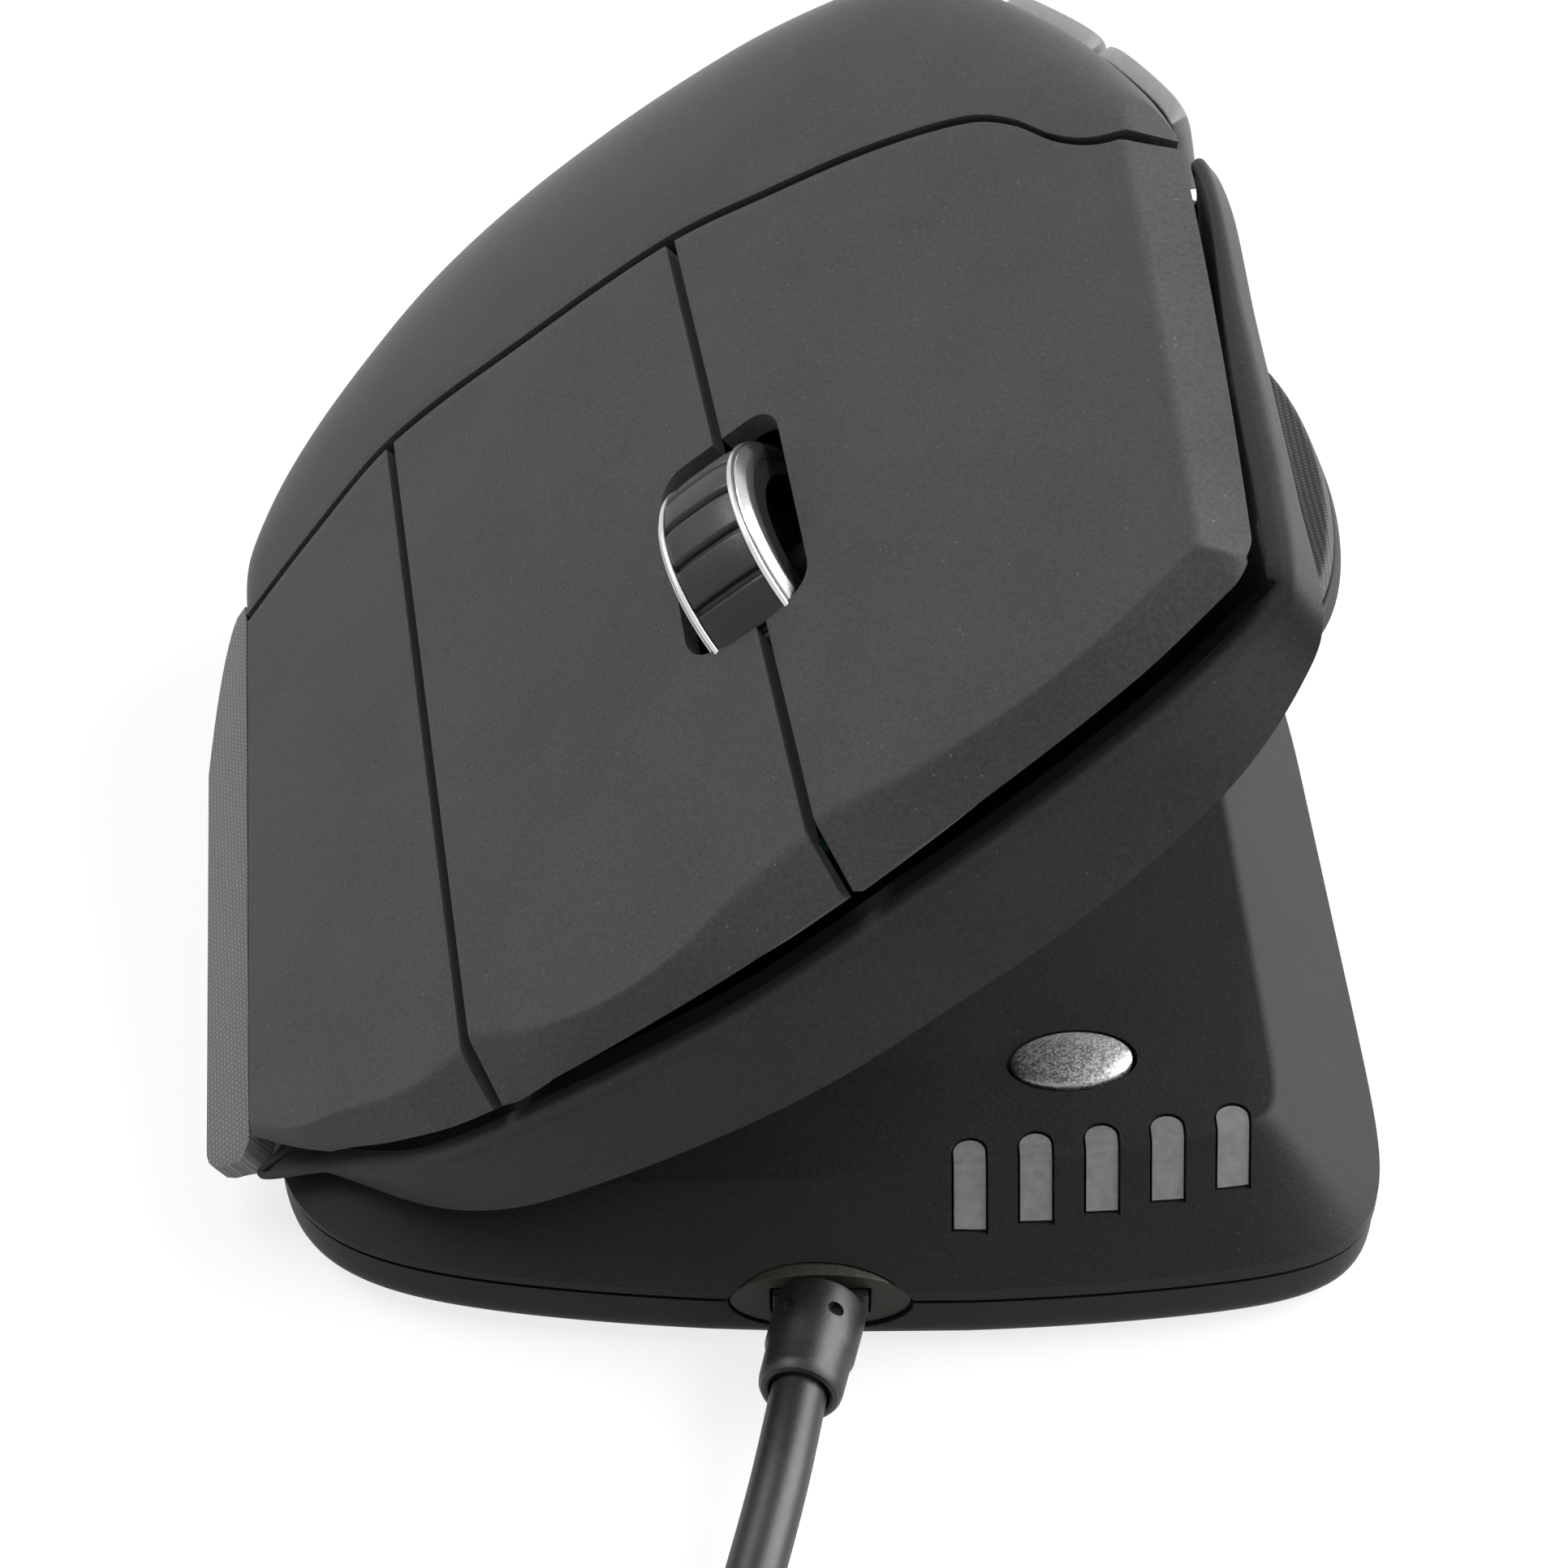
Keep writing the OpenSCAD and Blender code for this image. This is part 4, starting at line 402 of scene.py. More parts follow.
def piece(name, bm, place, body, material, nodes=(), wall=0, edge=0, segments=3, steps=(), crisp=38,
          edge_angle=40):
    """Finishes a shape: wall, rounded edges, joins and cuts in order; then puts it on its body."""
    mesh = bpy.data.meshes.new(name)
    bm.to_mesh(mesh)
    bm.free()
    ob = add(name, mesh)
    if wall:
        m = ob.modifiers.new("wall", "SOLIDIFY")
        m.thickness, m.offset = wall, -1
    if edge:
        m = ob.modifiers.new("edge", "BEVEL")
        m.width, m.segments, m.profile = edge, segments, 0.5
        m.limit_method, m.angle_limit = "ANGLE", radians(edge_angle)
    tools = []
    for kind, shape in steps:
        m = ob.modifiers.new(kind, "BOOLEAN")
        tools.append(loose(shape))
        m.operation, m.solver, m.object = kind, "EXACT", tools[-1]
    made = bpy.data.meshes.new_from_object(ob.evaluated_get(bpy.context.evaluated_depsgraph_get()))
    ob.modifiers.clear()
    ob.data = made
    made.name = name
    bpy.data.meshes.remove(mesh)
    for t in tools:
        bpy.data.meshes.remove(t.data)
    made.transform(place)
    made.shade_smooth()
    made.set_sharp_from_angle(angle=radians(crisp))
    made.materials.clear()
    made.materials.append(material)
    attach(ob, body)
    if nodes:
        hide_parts(*nodes)
    return ob


# Camera at the photograph's place
CAMERA_AT, CAMERA_DOWN, FOCAL, SENSOR = Vector((-2.6, -203.1, 165.2)), 38, 68.9, 36
camera = add("camera", bpy.data.cameras.new("camera"))
camera.data.sensor_width = SENSOR
camera.data.lens = FOCAL
camera.data.clip_start = 0.01
camera.location = CAMERA_AT * MM + BASE_AT * MM
camera.rotation_euler = (radians(90 - CAMERA_DOWN), 0, 0)
bpy.context.scene.camera = camera

# Cord: out of its boot, down to the desk, and coiled out of sight
CORD_D = 4
BOOT_START = Vector((0, -58.2, 4.6))
BOOT_END = Vector((-1.6, -66, 4.7))
LEAD = [BOOT_END] + [Vector(p) for p in (
    (-2.7, -72.2, 4.5), (-3.6, -76.3, 4), (-4.7, -80.8, 3.3), (-5.8, -86, 2.8), (-6.4, -92, 2.8),
    (-6.8, -98, 2.8), (-7, -104, 2.8), (-7, -111, 2.8), (-7, -117, 2.8), (-7, -121, 2.8))]
COIL_TURNS, COIL_LAYERS, COIL_R, COIL_PITCH, COIL_Z = 9.75, 4, 22.8, 4.8, 2.8
LAYER_TURNS = COIL_TURNS / COIL_LAYERS
COIL_OUT = COIL_R + LAYER_TURNS * COIL_PITCH / 2
COIL_AT = Vector((LEAD[-1].x + COIL_OUT, LEAD[-1].y - CORD_D, 0))


def coil_point(turn):
    """Spirals in and out by layers, and climbs in the half turn round each reversal."""
    s = turn / LAYER_TURNS
    layer = min(int(s), COIL_LAYERS - 1)
    share = s - layer if layer % 2 == 0 else 1 - (s - layer)
    r = COIL_OUT - share * LAYER_TURNS * COIL_PITCH
    near = floor(s + 0.5)
    if near < 1:
        climbed = 0
    elif near > COIL_LAYERS - 1:
        climbed = COIL_LAYERS - 1
    else:
        climbed = near - 1 + clamp((turn - near * LAYER_TURNS) * 2 + 0.5)
    w = pi + 2 * pi * turn
    return COIL_AT + Vector((r * cos(w), r * sin(w), COIL_Z + climbed * COIL_PITCH))


TURN_STEPS = 36
coil = [coil_point(i / TURN_STEPS) for i in range(int(COIL_TURNS * TURN_STEPS) + 1)]
TAIL = [coil[-1] + Vector((-CORD_D, 0, 0))] + [Vector(p) for p in (
    (13.6, -96.4, 16.8), (8, -96.6, 15), (2, -96.8, 12.6), (-4, -97, 10.4), (-9, -97.2, 8.2),
    (-13, -97.3, 6.2), (-17, -97.4, 4.9), (-21, -97.4, 4.4))]
FINE = 6


def finer(points):
    n = FINE * (len(points) - 1)
    return [along(points, i / n) for i in range(n + 1)]


route = finer(LEAD) + coil + finer(TAIL)
line = bpy.data.curves.new("cord", "CURVE")
line.dimensions = "3D"
line.bevel_depth = CORD_D / 2 * MM
line.bevel_resolution = 5
line.use_fill_caps = True
spline = line.splines.new("POLY")
spline.points.add(len(route) - 1)
for point, p in zip(spline.points, route):
    point.co = (*(BASE @ p), 1)
line.materials.append(PVC)
cord = add("cord", line)
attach(cord, "base")
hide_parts("cord_lead", "cord_coil", "cord_tail")


def cord_boot():
    """Boot that is nearly as wide all along, with a rounded end, a sunken cord entry and two dimples."""
    way = BOOT_END - BOOT_START
    length = way.length
    turn = atan2(way.x, -way.y)
    place = (BASE @ Matrix.Translation(BOOT_START) @ Matrix.Rotation(turn, 4, "Z")
             @ Matrix.Rotation(pi / 2, 4, "X"))
    outline = [(0, 0), (3.25, 0), (3.3, 0.4), (3.22, 4.0), (3.05, 4.4), (3.0, length - 1.0),
               (2.93, length - 0.5), (2.7, length - 0.12), (2.42, length), (2.2, length - 0.12),
               (2.12, length - 0.5), (2.12, length - 2), (0, length - 2)]
    bm = bmesh.new()
    verts = [bm.verts.new((r, 0, z)) for r, z in outline]
    edges = [bm.edges.new(p) for p in zip(verts, verts[1:])]
    bmesh.ops.spin(bm, geom=verts + edges, axis=(0, 0, 1), cent=(0, 0, 0), angle=2 * pi, steps=64,
                   use_merge=True)
    sew(bm)
    outward(bm)
    dimple_r, dimple_xs = 0.55, (-1.9, 1.5)
    dimples = gather(*[rod(dimple_r, 2, (x, 2.4, 2.2), "Y", 32) for x in dimple_xs])
    return piece("boot", bm, place, "base", PVC, ["cord_boot"],
                 steps=[("DIFFERENCE", dimples)], crisp=30)


boot = cord_boot()

# Base
BASE_RIGHT, BASE_LEFT, BASE_FRONT, BASE_BACK = 42, 41.6, 57.8, 51
BASE_H, BASE_SLOPE, PART_H, FLOOR, BASE_WALL = 12, tan(radians(5.2)), 5, 0.6, 2
FRONT_CORNER, THUMB_CORNER, BACK_CORNER, CREASE_CORNER = 8, 12, 2.8, 30
FRONT_BOW, BOW_MID, WAIST = 0.0028, 3, 0.12
SHOULDER, LEFT_CREASE, CREASE_IN, BACK_CREASE = 9, 1.3, 5.8, 2.4
BASE_SIDES, PART_GAP = 320, 0.4
BARREL_R, PIN_R, PIN_AIR, HINGE_FRONT, HINGE_L, AIR = 3, 1.4, 0.05, -36, 56, 0.4
# Shares of the hinge's length where each knuckle starts and ends, and whether it is on the upper body
KNUCKLES = ((0, 0.15, False), (0.15, 0.4, True), (0.4, 0.65, False), (0.65, 0.88, True), (0.88, 1, False))
KNUCKLE_GAP = 0.7


def top_z(x):
    return BASE_H + x * BASE_SLOPE


def base_point(h, right, left, front, back, sharp):
    n = BACK_CORNER if h < 0.5 else sharp if h > 0.75 else FRONT_CORNER
    t = 2 * pi * h
    q = min(int(h * 4), 3)
    r = t - q * pi / 2
    w = q * pi / 2 + (r + atan2(max(sin(r), 0) ** (2 / n), max(cos(r), 0) ** (2 / n))) / 2
    k = (abs(cos(w)) ** n + abs(sin(w)) ** n) ** (-1 / n)
    x = k * cos(w) * (right if cos(w) > 0 else left)
    return x, k * sin(w) * (back if sin(w) > 0 else front - FRONT_BOW * (x - BOW_MID) ** 2)


def side_point(h, inset):
    return base_point(h, BASE_RIGHT - inset, BASE_LEFT - inset, BASE_FRONT - inset, BASE_BACK - inset,
                      THUMB_CORNER)


def crease_point(h, inset):
    return base_point(h, BASE_RIGHT - SHOULDER - inset, BASE_LEFT - LEFT_CREASE - inset,
                      BASE_FRONT - CREASE_IN - inset, BASE_BACK - BACK_CREASE - inset, CREASE_CORNER)


SIDE_ROWS = 8


def top_skin(inset=0, drop=0, foot=PART_H, round_edge=0.55):
    """Solid of the base's upper part: side, soft waist, sloping shoulder, flat top inside its crease."""
    def place(u, v):
        h = u % 1
        x, y = side_point(h, inset)
        waist_z = mix(PART_H, top_z(x), WAIST) - drop
        t = v * SIDE_ROWS - 1
        if t <= 0:
            return Vector((x, y, mix(foot, waist_z, t + 1)))
        cx, cy = crease_point(h, inset)
        t /= SIDE_ROWS - 1
        return Vector((mix(x, cx, t), mix(y, cy, t), mix(waist_z, top_z(cx) - drop, t)))
    bm = sew(grid(BASE_SIDES, SIDE_ROWS, place))
    crease = cap(bm, lambda p: p.z > foot + 0.3)
    cap(bm, lambda p: p.z < foot + 0.01)
    outward(bm)
    if round_edge:
        soften(bm, crease, round_edge, 4)
    return bm


LED_COUNT, LED_MID, LED_PITCH, LED_BACK = 5, 20, 4.7, 2.3
LED_XS = [LED_MID + (i - (LED_COUNT - 1) / 2) * LED_PITCH for i in range(LED_COUNT)]
LED_W, LED_H, LED_AIR, LED_SLIP, LED_SUNK = 2.3, 3.8, 0.16, 0.02, 0.12


def led_back(x):
    return FRONT_BOW * (x - BOW_MID) ** 2 + CREASE_IN - BASE_FRONT + LED_BACK


def windows(grow):
    shapes = []
    for x in LED_XS:
        r = LED_W / 2 + grow
        y = led_back(x) - LED_W / 2
        arc = [(x + r * cos(pi * k / 24), y + r * sin(pi * k / 24)) for k in range(25)]
        shapes.append(prism([(x - r, y - 12), (x + r, y - 12)] + arc, top_z(x) - LED_H - grow, top_z(x) + 3))
    return gather(*shapes)


DPI_AT = (18.5, -42.1)
DPI_L, DPI_W, DPI_AIR = 8.9, 5.8, 0.7
PORT_Z, PORT_W, PORT_H, PORT_AIR = 4.6, 13, 5.4, 0.15
PORT_OUT, PORT_IN = -BASE_FRONT - 3, -BASE_FRONT + 3.2


def port_hole():
    bm = prism(oval(PORT_W + 2 * PORT_AIR, PORT_H + 2 * PORT_AIR), 0, PORT_IN - PORT_OUT)
    place = Matrix.Translation((0, PORT_OUT, PORT_Z)) @ Matrix.Rotation(-pi / 2, 4, "X")
    bmesh.ops.transform(bm, matrix=place, verts=bm.verts[:])
    return bm


def knuckle_y(share):
    return HINGE_FRONT + HINGE_L * share


def hinge_hole(r, at, sides=64):
    return rod(r, HINGE_L + 2, (at.x, HINGE_FRONT - 1, at.z), sides=sides)


def barrels(upper, r, at, spare=0, past=0):
    """Hinge barrels of the upper body or the base, longer by spare at each end and by past at the last."""
    return gather(*[
        rod(r, knuckle_y(end) - knuckle_y(start) + 2 * spare + (past if end == 1 else 0),
            (at.x, knuckle_y(start) - spare, at.z))
        for start, end, on_upper in KNUCKLES if on_upper == upper])


def base_top():
    own = barrels(False, BARREL_R, HINGE)
    room = barrels(True, BARREL_R + AIR, HINGE)
    bore = hinge_hole(PIN_R + PIN_AIR, HINGE, 32)
    holes = gather(prism(oval(DPI_L + DPI_AIR, DPI_W + DPI_AIR, at=DPI_AT), 8, 20), port_hole())
    hollow = top_skin(BASE_WALL, BASE_WALL, PART_H - 3, 0)
    return piece("base_upper", top_skin(), BASE, "base", BLACK, ["base_top"], crisp=32,
                 steps=[("DIFFERENCE", hollow), ("UNION", own), ("DIFFERENCE", room), ("DIFFERENCE", bore),
                        ("DIFFERENCE", holes), ("DIFFERENCE", windows(LED_AIR))])


base_top()
piece("indicator_windows", top_skin(LED_SUNK, LED_SUNK), BASE, "base", ACRYLIC,
      ["light_pipes"], steps=[("INTERSECT", windows(-LED_SLIP))], crisp=32)

# Glide feet: place, length, width and turn
FEET = ((8, -44, 34, 7, 0), (6, 40, 34, 7, 0), (33.5, 2, 24, 5, 90), (-27, 2, 24, 5, 90))
SCREW_SPOTS = ((30, -32), (-24, -40), (24, 32), (-22, 30))
FOOT_AIR, SCREW_HOLE_R, SENSOR_HOLE = 0.3, 2.25, Vector((9, 7, 6))
EDGE_IN, EDGE_ROLL = 0.1, 1.7


def lower_dish(inset, floor, rim):
    """Solid of the base's lower part, with a rolled lower edge."""
    def place(u, v):
        x, y = side_point(u % 1, inset + EDGE_IN + EDGE_ROLL * (1 - v) ** 5)
        return Vector((x, y, mix(floor, rim, v ** 1.3)))
    bm = sew(grid(BASE_SIDES, 12, place))
    for level in (floor, rim):
        cap(bm, lambda p: abs(p.z - level) < 0.01)
    return outward(bm)


def base_bottom():
    cuts = [lower_dish(BASE_WALL, FLOOR + BASE_WALL, PART_H + 1)]
    cuts += [prism(stadium(f[2] + FOOT_AIR, f[3] + FOOT_AIR, f[:2], radians(f[4])), -1, 1.0) for f in FEET]
    cuts += [rod(SCREW_HOLE_R, 3.4, (*spot, -1), "Z", 48) for spot in SCREW_SPOTS]
    cuts += [block(-SENSOR_HOLE / 2, SENSOR_HOLE / 2), hinge_hole(BARREL_R + AIR, HINGE), port_hole()]
    return piece("base_lower", lower_dish(0, FLOOR, PART_H - PART_GAP), BASE, "base", BLACK,
                 ["base_bottom"], crisp=32, steps=[("DIFFERENCE", c) for c in cuts])


base_bottom()


def dpi_button():
    """Silver oval key, domed over the base's slope, with straight sides that go down into its hole."""
    rows, side_rows = 26, 4
    dome, skirt, sunk = 1.0, 2.2, 0.12

    def place(u, v):
        w = 2 * pi * (u % 1)
        share = clamp(v * rows / (rows - side_rows))
        r = sin(share * pi / 2)
        down = max(v * rows - (rows - side_rows), 0) / side_rows
        x, y = DPI_AT[0] + DPI_L / 2 * r * cos(w), DPI_AT[1] - DPI_W / 2 * r * sin(w)
        return Vector((x, y, top_z(x) + dome * cos(share * pi / 2) ** 0.9 - sunk - skirt * down))
    bm = sew(grid(96, rows, place))
    outward(bm)
    return piece("sensitivity_key", bm, BASE, "dpi_key", SILVER, ["dpi_button"], wall=0.9,
                 crisp=50)


dpi_button()

# Upper body: deck, edges and outlines
DECK_H, DECK_PITCH, DECK_LEFT, DECK_FRONT, BODY_BACK = 19, tan(radians(13)), -5, -55.6, 50.5
CREST_START, CREST_Y, CROWN_A, CROWN, FINGER_CROWN, FINGER_A = 12, 38, 42, 0.0008, 0.001, 10
KEY_GAP, RIM_GAP, BEVEL_H, SIDE_W = 0.9, 2.4, 2.8, 2.4
SIDE_H, CREASE_SOFT = BEVEL_H - 0.3, 0.12


def deck(a, y):
    return (DECK_H + DECK_PITCH * (y - max(y - CREST_START, 0) ** 2 / (2 * (CREST_Y - CREST_START)))
            - CROWN * (a - CROWN_A) ** 2 - FINGER_CROWN * max(FINGER_A - a, 0) ** 2)


FRONT_EDGE = [(a, DECK_FRONT + y) for a, y in (
    (-7.2, 10.2), (-3, 7.6), (2.7, 5.2), (6, 4.1), (17.5, 1.5), (36, 0),
    (47.7, 0.5), (57, 1.2), (70, 3.4), (79.5, 6.6))]
THUMB_FRONT, THUMB_BACK = (79.5, DECK_FRONT + 6.6), (84.5, -14)
PALM_LINE = [(DECK_LEFT, 5.5), (4, 8.4), (13.6, 11), (29.6, 10), (44.7, 8.5), (54.5, 5.6), (63.9, 2.4),
             (71.5, -1.4), (74.6, -4.6), (77, -8.6), (79.4, -11.2), (82, -12.6),
             (THUMB_BACK[0], THUMB_BACK[1] + 0.6)]
BACK_LINE = [Vector(p) for p in (
    (DECK_LEFT - 0.6, 6.4), (-7, 17), (-4.6, 29), (3, 40), (14, BODY_BACK - 2.4), (27, BODY_BACK),
    (40, BODY_BACK - 2), (53.6, 41), (64.6, 30), (72.2, 19.8), (77.4, 10.4), (81, 2), (83.4, -6),
    (THUMB_BACK[0], THUMB_BACK[1] + 1.8))]
BACK_LEVEL, EDGE_DROP, START_DROP = 2.5, 4, 1.2
# Shares of the back line over which the cover's edge comes down, rises again and meets the thumb side
DOWN_RUN, UP_START, UP_RUN, MEET_START, MEET_RUN = 0.26, 0.42, 0.26, 0.85, 0.15


def front_y(a):
    return height_at(FRONT_EDGE, a)


def palm_y(a):
    return height_at(PALM_LINE, a)


def palm_edge(u):
    p = along(BACK_LINE, u)
    d = deck(p.x, p.y)
    if u < UP_START:
        return mix(d - START_DROP, BACK_LEVEL, ease(u / DOWN_RUN))
    drop = mix(EDGE_DROP, BEVEL_H, ease((u - MEET_START) / MEET_RUN))
    return mix(BACK_LEVEL, d - drop, ease((u - UP_START) / UP_RUN))


def palm_point(u, v):
    a = mix(PALM_LINE[0][0], THUMB_BACK[0], u)
    f, b = Vector((a, palm_y(a) + KEY_GAP / 2)), along(BACK_LINE, u)
    p = mix(f, b, v)
    low = palm_edge(u)
    fall = max(1 - v ** 3.2, 0) ** 0.46
    top = deck(p.x, p.y)
    side = SIDE_H * soft_max(1 - (THUMB_BACK[0] - p.x) / SIDE_W, 0, CREASE_SOFT)
    return Vector((p.x, p.y, min(low + (top - low) * fall, top - side)))


def palm_cover():
    bm = grid(150, 44, lambda u, v: palm_point(u, 1 - (1 - v) ** 2))
    return piece("palm_shell", bm, BODY, "upper_body", DECK, ["palm_cover"], wall=1.8,
                 edge=0.3)


palm_cover()

# Keys
SPLIT_THUMB, SPLIT_FINGER = (46.8, 44.7), (15.8, 13.6)
THUMB_EDGE = (THUMB_FRONT[0], THUMB_BACK[0])
FINGER_EDGE = (DECK_LEFT - 2, DECK_LEFT)
LIP_OUT, LIP_START, LIP_RUN = 1.4, -1, 14
FADE_START, FADE_RUN = -7, 6
SIDE_BOW, KEY_CORNER = 0.3, 1.8
# Width of each key's front bevel, from its little-finger side to its thumb side
MAIN_CREASE = (3.8, 2.6, 1.7, 1.3, 1.5, 1.5)
SECOND_CREASE = (3.8, 1.6, 0.6, 0.9, 2.5, 3)
THIRD_CREASE = (0.9, 0.3, 1.1, 1.6, 3)
WHEEL_R, WHEEL_W, WHEEL_A, WHEEL_Y, WHEEL_OUT = 10.5, 8, 45.2, -24.7, 4.2
WHEEL_C = deck(WHEEL_A, WHEEL_Y) + WHEEL_OUT - WHEEL_R
SLOT_SIDE, SLOT_GAP = 1.5, 0.8
SLOT_L = 2 * sqrt(WHEEL_R ** 2 - (WHEEL_R - WHEEL_OUT) ** 2) + 2 * SLOT_GAP
SLOT_CORNER = 2.4


def wheel_slot():
    w, l, r = WHEEL_W + 2 * SLOT_SIDE, SLOT_L, SLOT_CORNER
    plan = [(WHEEL_A + sx * (w / 2 - r) + r * cos(t), WHEEL_Y + sy * (l / 2 - r) + r * sin(t))
            for sx, sy, start in ((1, 1, 0), (-1, 1, pi / 2), (-1, -1, pi), (1, -1, 3 * pi / 2))
            for t in [start + pi / 2 * k / 10 for k in range(11)]]
    return prism(plan, -10, 30)


def lip_y(a):
    return front_y(a) - LIP_OUT * ease((a - LIP_START) / LIP_RUN)


def crowd(t, share, part):
    """Puts the first share of the rows into a narrow part of the way."""
    return t / share * part if t < share else mix(part, 1, (t - share) / (1 - share))


def key(name, body, node, left, right, crease, thumb, cols):
    """A key on the deck: bevelled lip at the front; on the thumb side, bevelled edge and rounded corner."""
    rows = 90
    # Closer rows over the front lip, and closer columns over the thumb side's bevel
    front_part, front_share, side_part, side_share = 4.6, 0.36, 1.4 * SIDE_W, 0.3
    wide = right[0] - left[0]

    def place(u, v):
        if thumb:
            u = 1 - crowd(1 - u, side_share, side_part / wide)
        af, ap = mix(left[0], right[0], u), mix(left[1], right[1], u)
        yf, yp = lip_y(af), palm_y(ap) - KEY_GAP / 2
        share = crowd(v, front_share, front_part / (yp - yf))
        in_front, in_side = share * (yp - yf), (1 - u) * wide
        bow = SIDE_BOW * 4 * share * (1 - share) * u ** 4 if thumb else 0
        a, y = mix(af, ap, share) + bow, mix(yf, yp, share)
        height = BEVEL_H * mix(0.1, 1, clamp((a - FADE_START) / FADE_RUN))
        lip = height * soft_max(1 - in_front / along(crease, u), 0, CREASE_SOFT)
        side = SIDE_H * soft_max(1 - in_side / SIDE_W, 0, CREASE_SOFT) if thumb else 0
        if thumb:
            e, f = max(1 - in_side / KEY_CORNER, 0), max(1 - in_front / KEY_CORNER, 0)
            a += KEY_CORNER * e * (sqrt(1 - f * f / 2) - 1)
            y += KEY_CORNER * f * (1 - sqrt(1 - e * e / 2))
        return Vector((a, y, deck(a, y) - max(lip, side)))
    return piece(name, grid(cols, rows, place), BODY, body, DECK, [node], wall=1.6, edge=0.18,
                 steps=[("DIFFERENCE", wheel_slot())], crisp=50, edge_angle=55)


HALF = KEY_GAP / 2
key("main_key", "left_key", "left_button", [x + HALF for x in SPLIT_THUMB], THUMB_EDGE,
    MAIN_CREASE, True, 100)
key("second_key", "right_key", "right_button", [x + HALF for x in SPLIT_FINGER],
    [x - HALF for x in SPLIT_THUMB], SECOND_CREASE, False, 80)
key("third_key_cap", "third_key", "third_button", FINGER_EDGE, [x - HALF for x in SPLIT_FINGER],
    THIRD_CREASE, False, 60)

# Lower shell
RIM_DROP, SIDE_DROP, HULL_LEFT, THUMB_KEY_H, THUMB_LEAN = 5.2, 3.4, DECK_LEFT + 0.4, 5, 0.55
FLAT_SLOPE, FLAT_LEVEL, FLAT_END, CORNER_RIM, LEFT_BAND = 0.56, 1.2, -4, 0.3, 13
FINGER_DROP, RIM_START, RIM_RUN = 3.9, 10, 30
FLAT_DROOP, DROOP_START, DROOP_RUN = 1.9, -47, 6
HULL_MID, BELLY_DEPTH, BELLY_CURVE = Vector((38, -3)), 19, 3
# Share of the back line where the rim steps down under the thumb buttons
STEP_START, STEP_RUN = 0.61, 0.09
BACK_BANDS = (11, 8, 6, 5.5, 5.5, 5.5, 5, 4, 2.4, 1.2, 1.2)


def flat_c(a):
    return FLAT_LEVEL - FLAT_SLOPE * max(a, FLAT_END)


def flat_at(a, y):
    return flat_c(a) - FLAT_DROOP * ease((DROOP_START - y) / DROOP_RUN)


def front_rim(a, out, band):
    y = front_y(a) - out
    drop = mix(FINGER_DROP, RIM_DROP, ease((a - RIM_START) / RIM_RUN))
    return Vector((a, y, band, max(deck(a, y) - drop, flat_at(a, y) + CORNER_RIM)))


def side_rim(a, y, band, drop):
    return Vector((a, y, band, deck(a, y) - drop))


def left_rim(y):
    return Vector((HULL_LEFT, y, LEFT_BAND,
                   max(deck(HULL_LEFT, y) - SIDE_DROP, flat_c(HULL_LEFT) + CORNER_RIM)))


def thumb_step(u):
    return ease((u - STEP_START) / STEP_RUN)


def back_rim(u, band):
    p = along(BACK_LINE, u)
    inward = THUMB_LEAN * THUMB_KEY_H * thumb_step(u) * ease((1.02 - u) / 0.1)
    return Vector((p.x - inward, p.y, band,
                   palm_edge(u) - 1.5 * AIR - (THUMB_KEY_H + 1.5 * AIR) * thumb_step(u)))


FRONT_RIMS = ((6, 6), (18, 7.6), (34, 8.3), (48, 8.5), (59, 8.4), (70, 7.3), (77.4, 5.2))
SIDE_RIMS = ((80.9, DECK_FRONT + 4.4, 3.6, 3.8), (82.5, -45, 2.2, 3.1), (83.4, -38, 2, 2.9),
             (84.3, -29, 2, 2.9), (85.4, -19, 2, 3.1), (85.1, -13.4, 1.6, 3.9))
LEFT_RIMS = (8, -6, -20, -34, DECK_FRONT + 12.4)
HULL_POINTS = ([Vector((-8.6, DECK_FRONT + 8.8, 2.6, 3.9)), front_rim(-2.6, 0.9, 3.4)]
               + [front_rim(a, RIM_GAP, band) for a, band in FRONT_RIMS]
               + [side_rim(*spot) for spot in SIDE_RIMS] + [back_rim(0.965, 1.2)]
               + [back_rim(k / 12, BACK_BANDS[k - 1]) for k in range(11, 0, -1)]
               + [left_rim(y) for y in LEFT_RIMS])
HULL_STEPS = 10
HULL_WALL, BELLY_ROWS = 2, 30
# The wall thins out at the front tip, and along the thumb side towards the back
TIP_WALL, TIP_RUN = 0.6, 8
THUMB_THIN, THIN_A, THIN_WIDTH, THIN_Y, THIN_RUN = 0.48, 76, 5, -42, 24
# Sunken screw heads under the belly: place in the body and the depth of their seats
HEAD_R, HEADS = 2.3, ((18, 15, -7.03), (61, 15, -5.11))
# Axis of the thumb support's arm, and the opening for its sleeve
REST_Y, ARM_Z = 6, 23.5
SLEEVE_W, SLEEVE_H, SLEEVE_IN, SLEEVE_OUT = 11.34, 7.34, 1, 38
# Ledge behind the rim along the front, between two stations of the outline
LEDGE, LEDGE_W, LEDGE_DROP = (HULL_STEPS, 9 * HULL_STEPS), 2.4, 0.7


def hull_outline():
    n = len(HULL_POINTS)
    stations = [(i, step / HULL_STEPS) for i in range(n) for step in range(HULL_STEPS)]
    return [smooth(*[HULL_POINTS[(i + k) % n] for k in (-1, 0, 1, 2)], t) for i, t in stations]


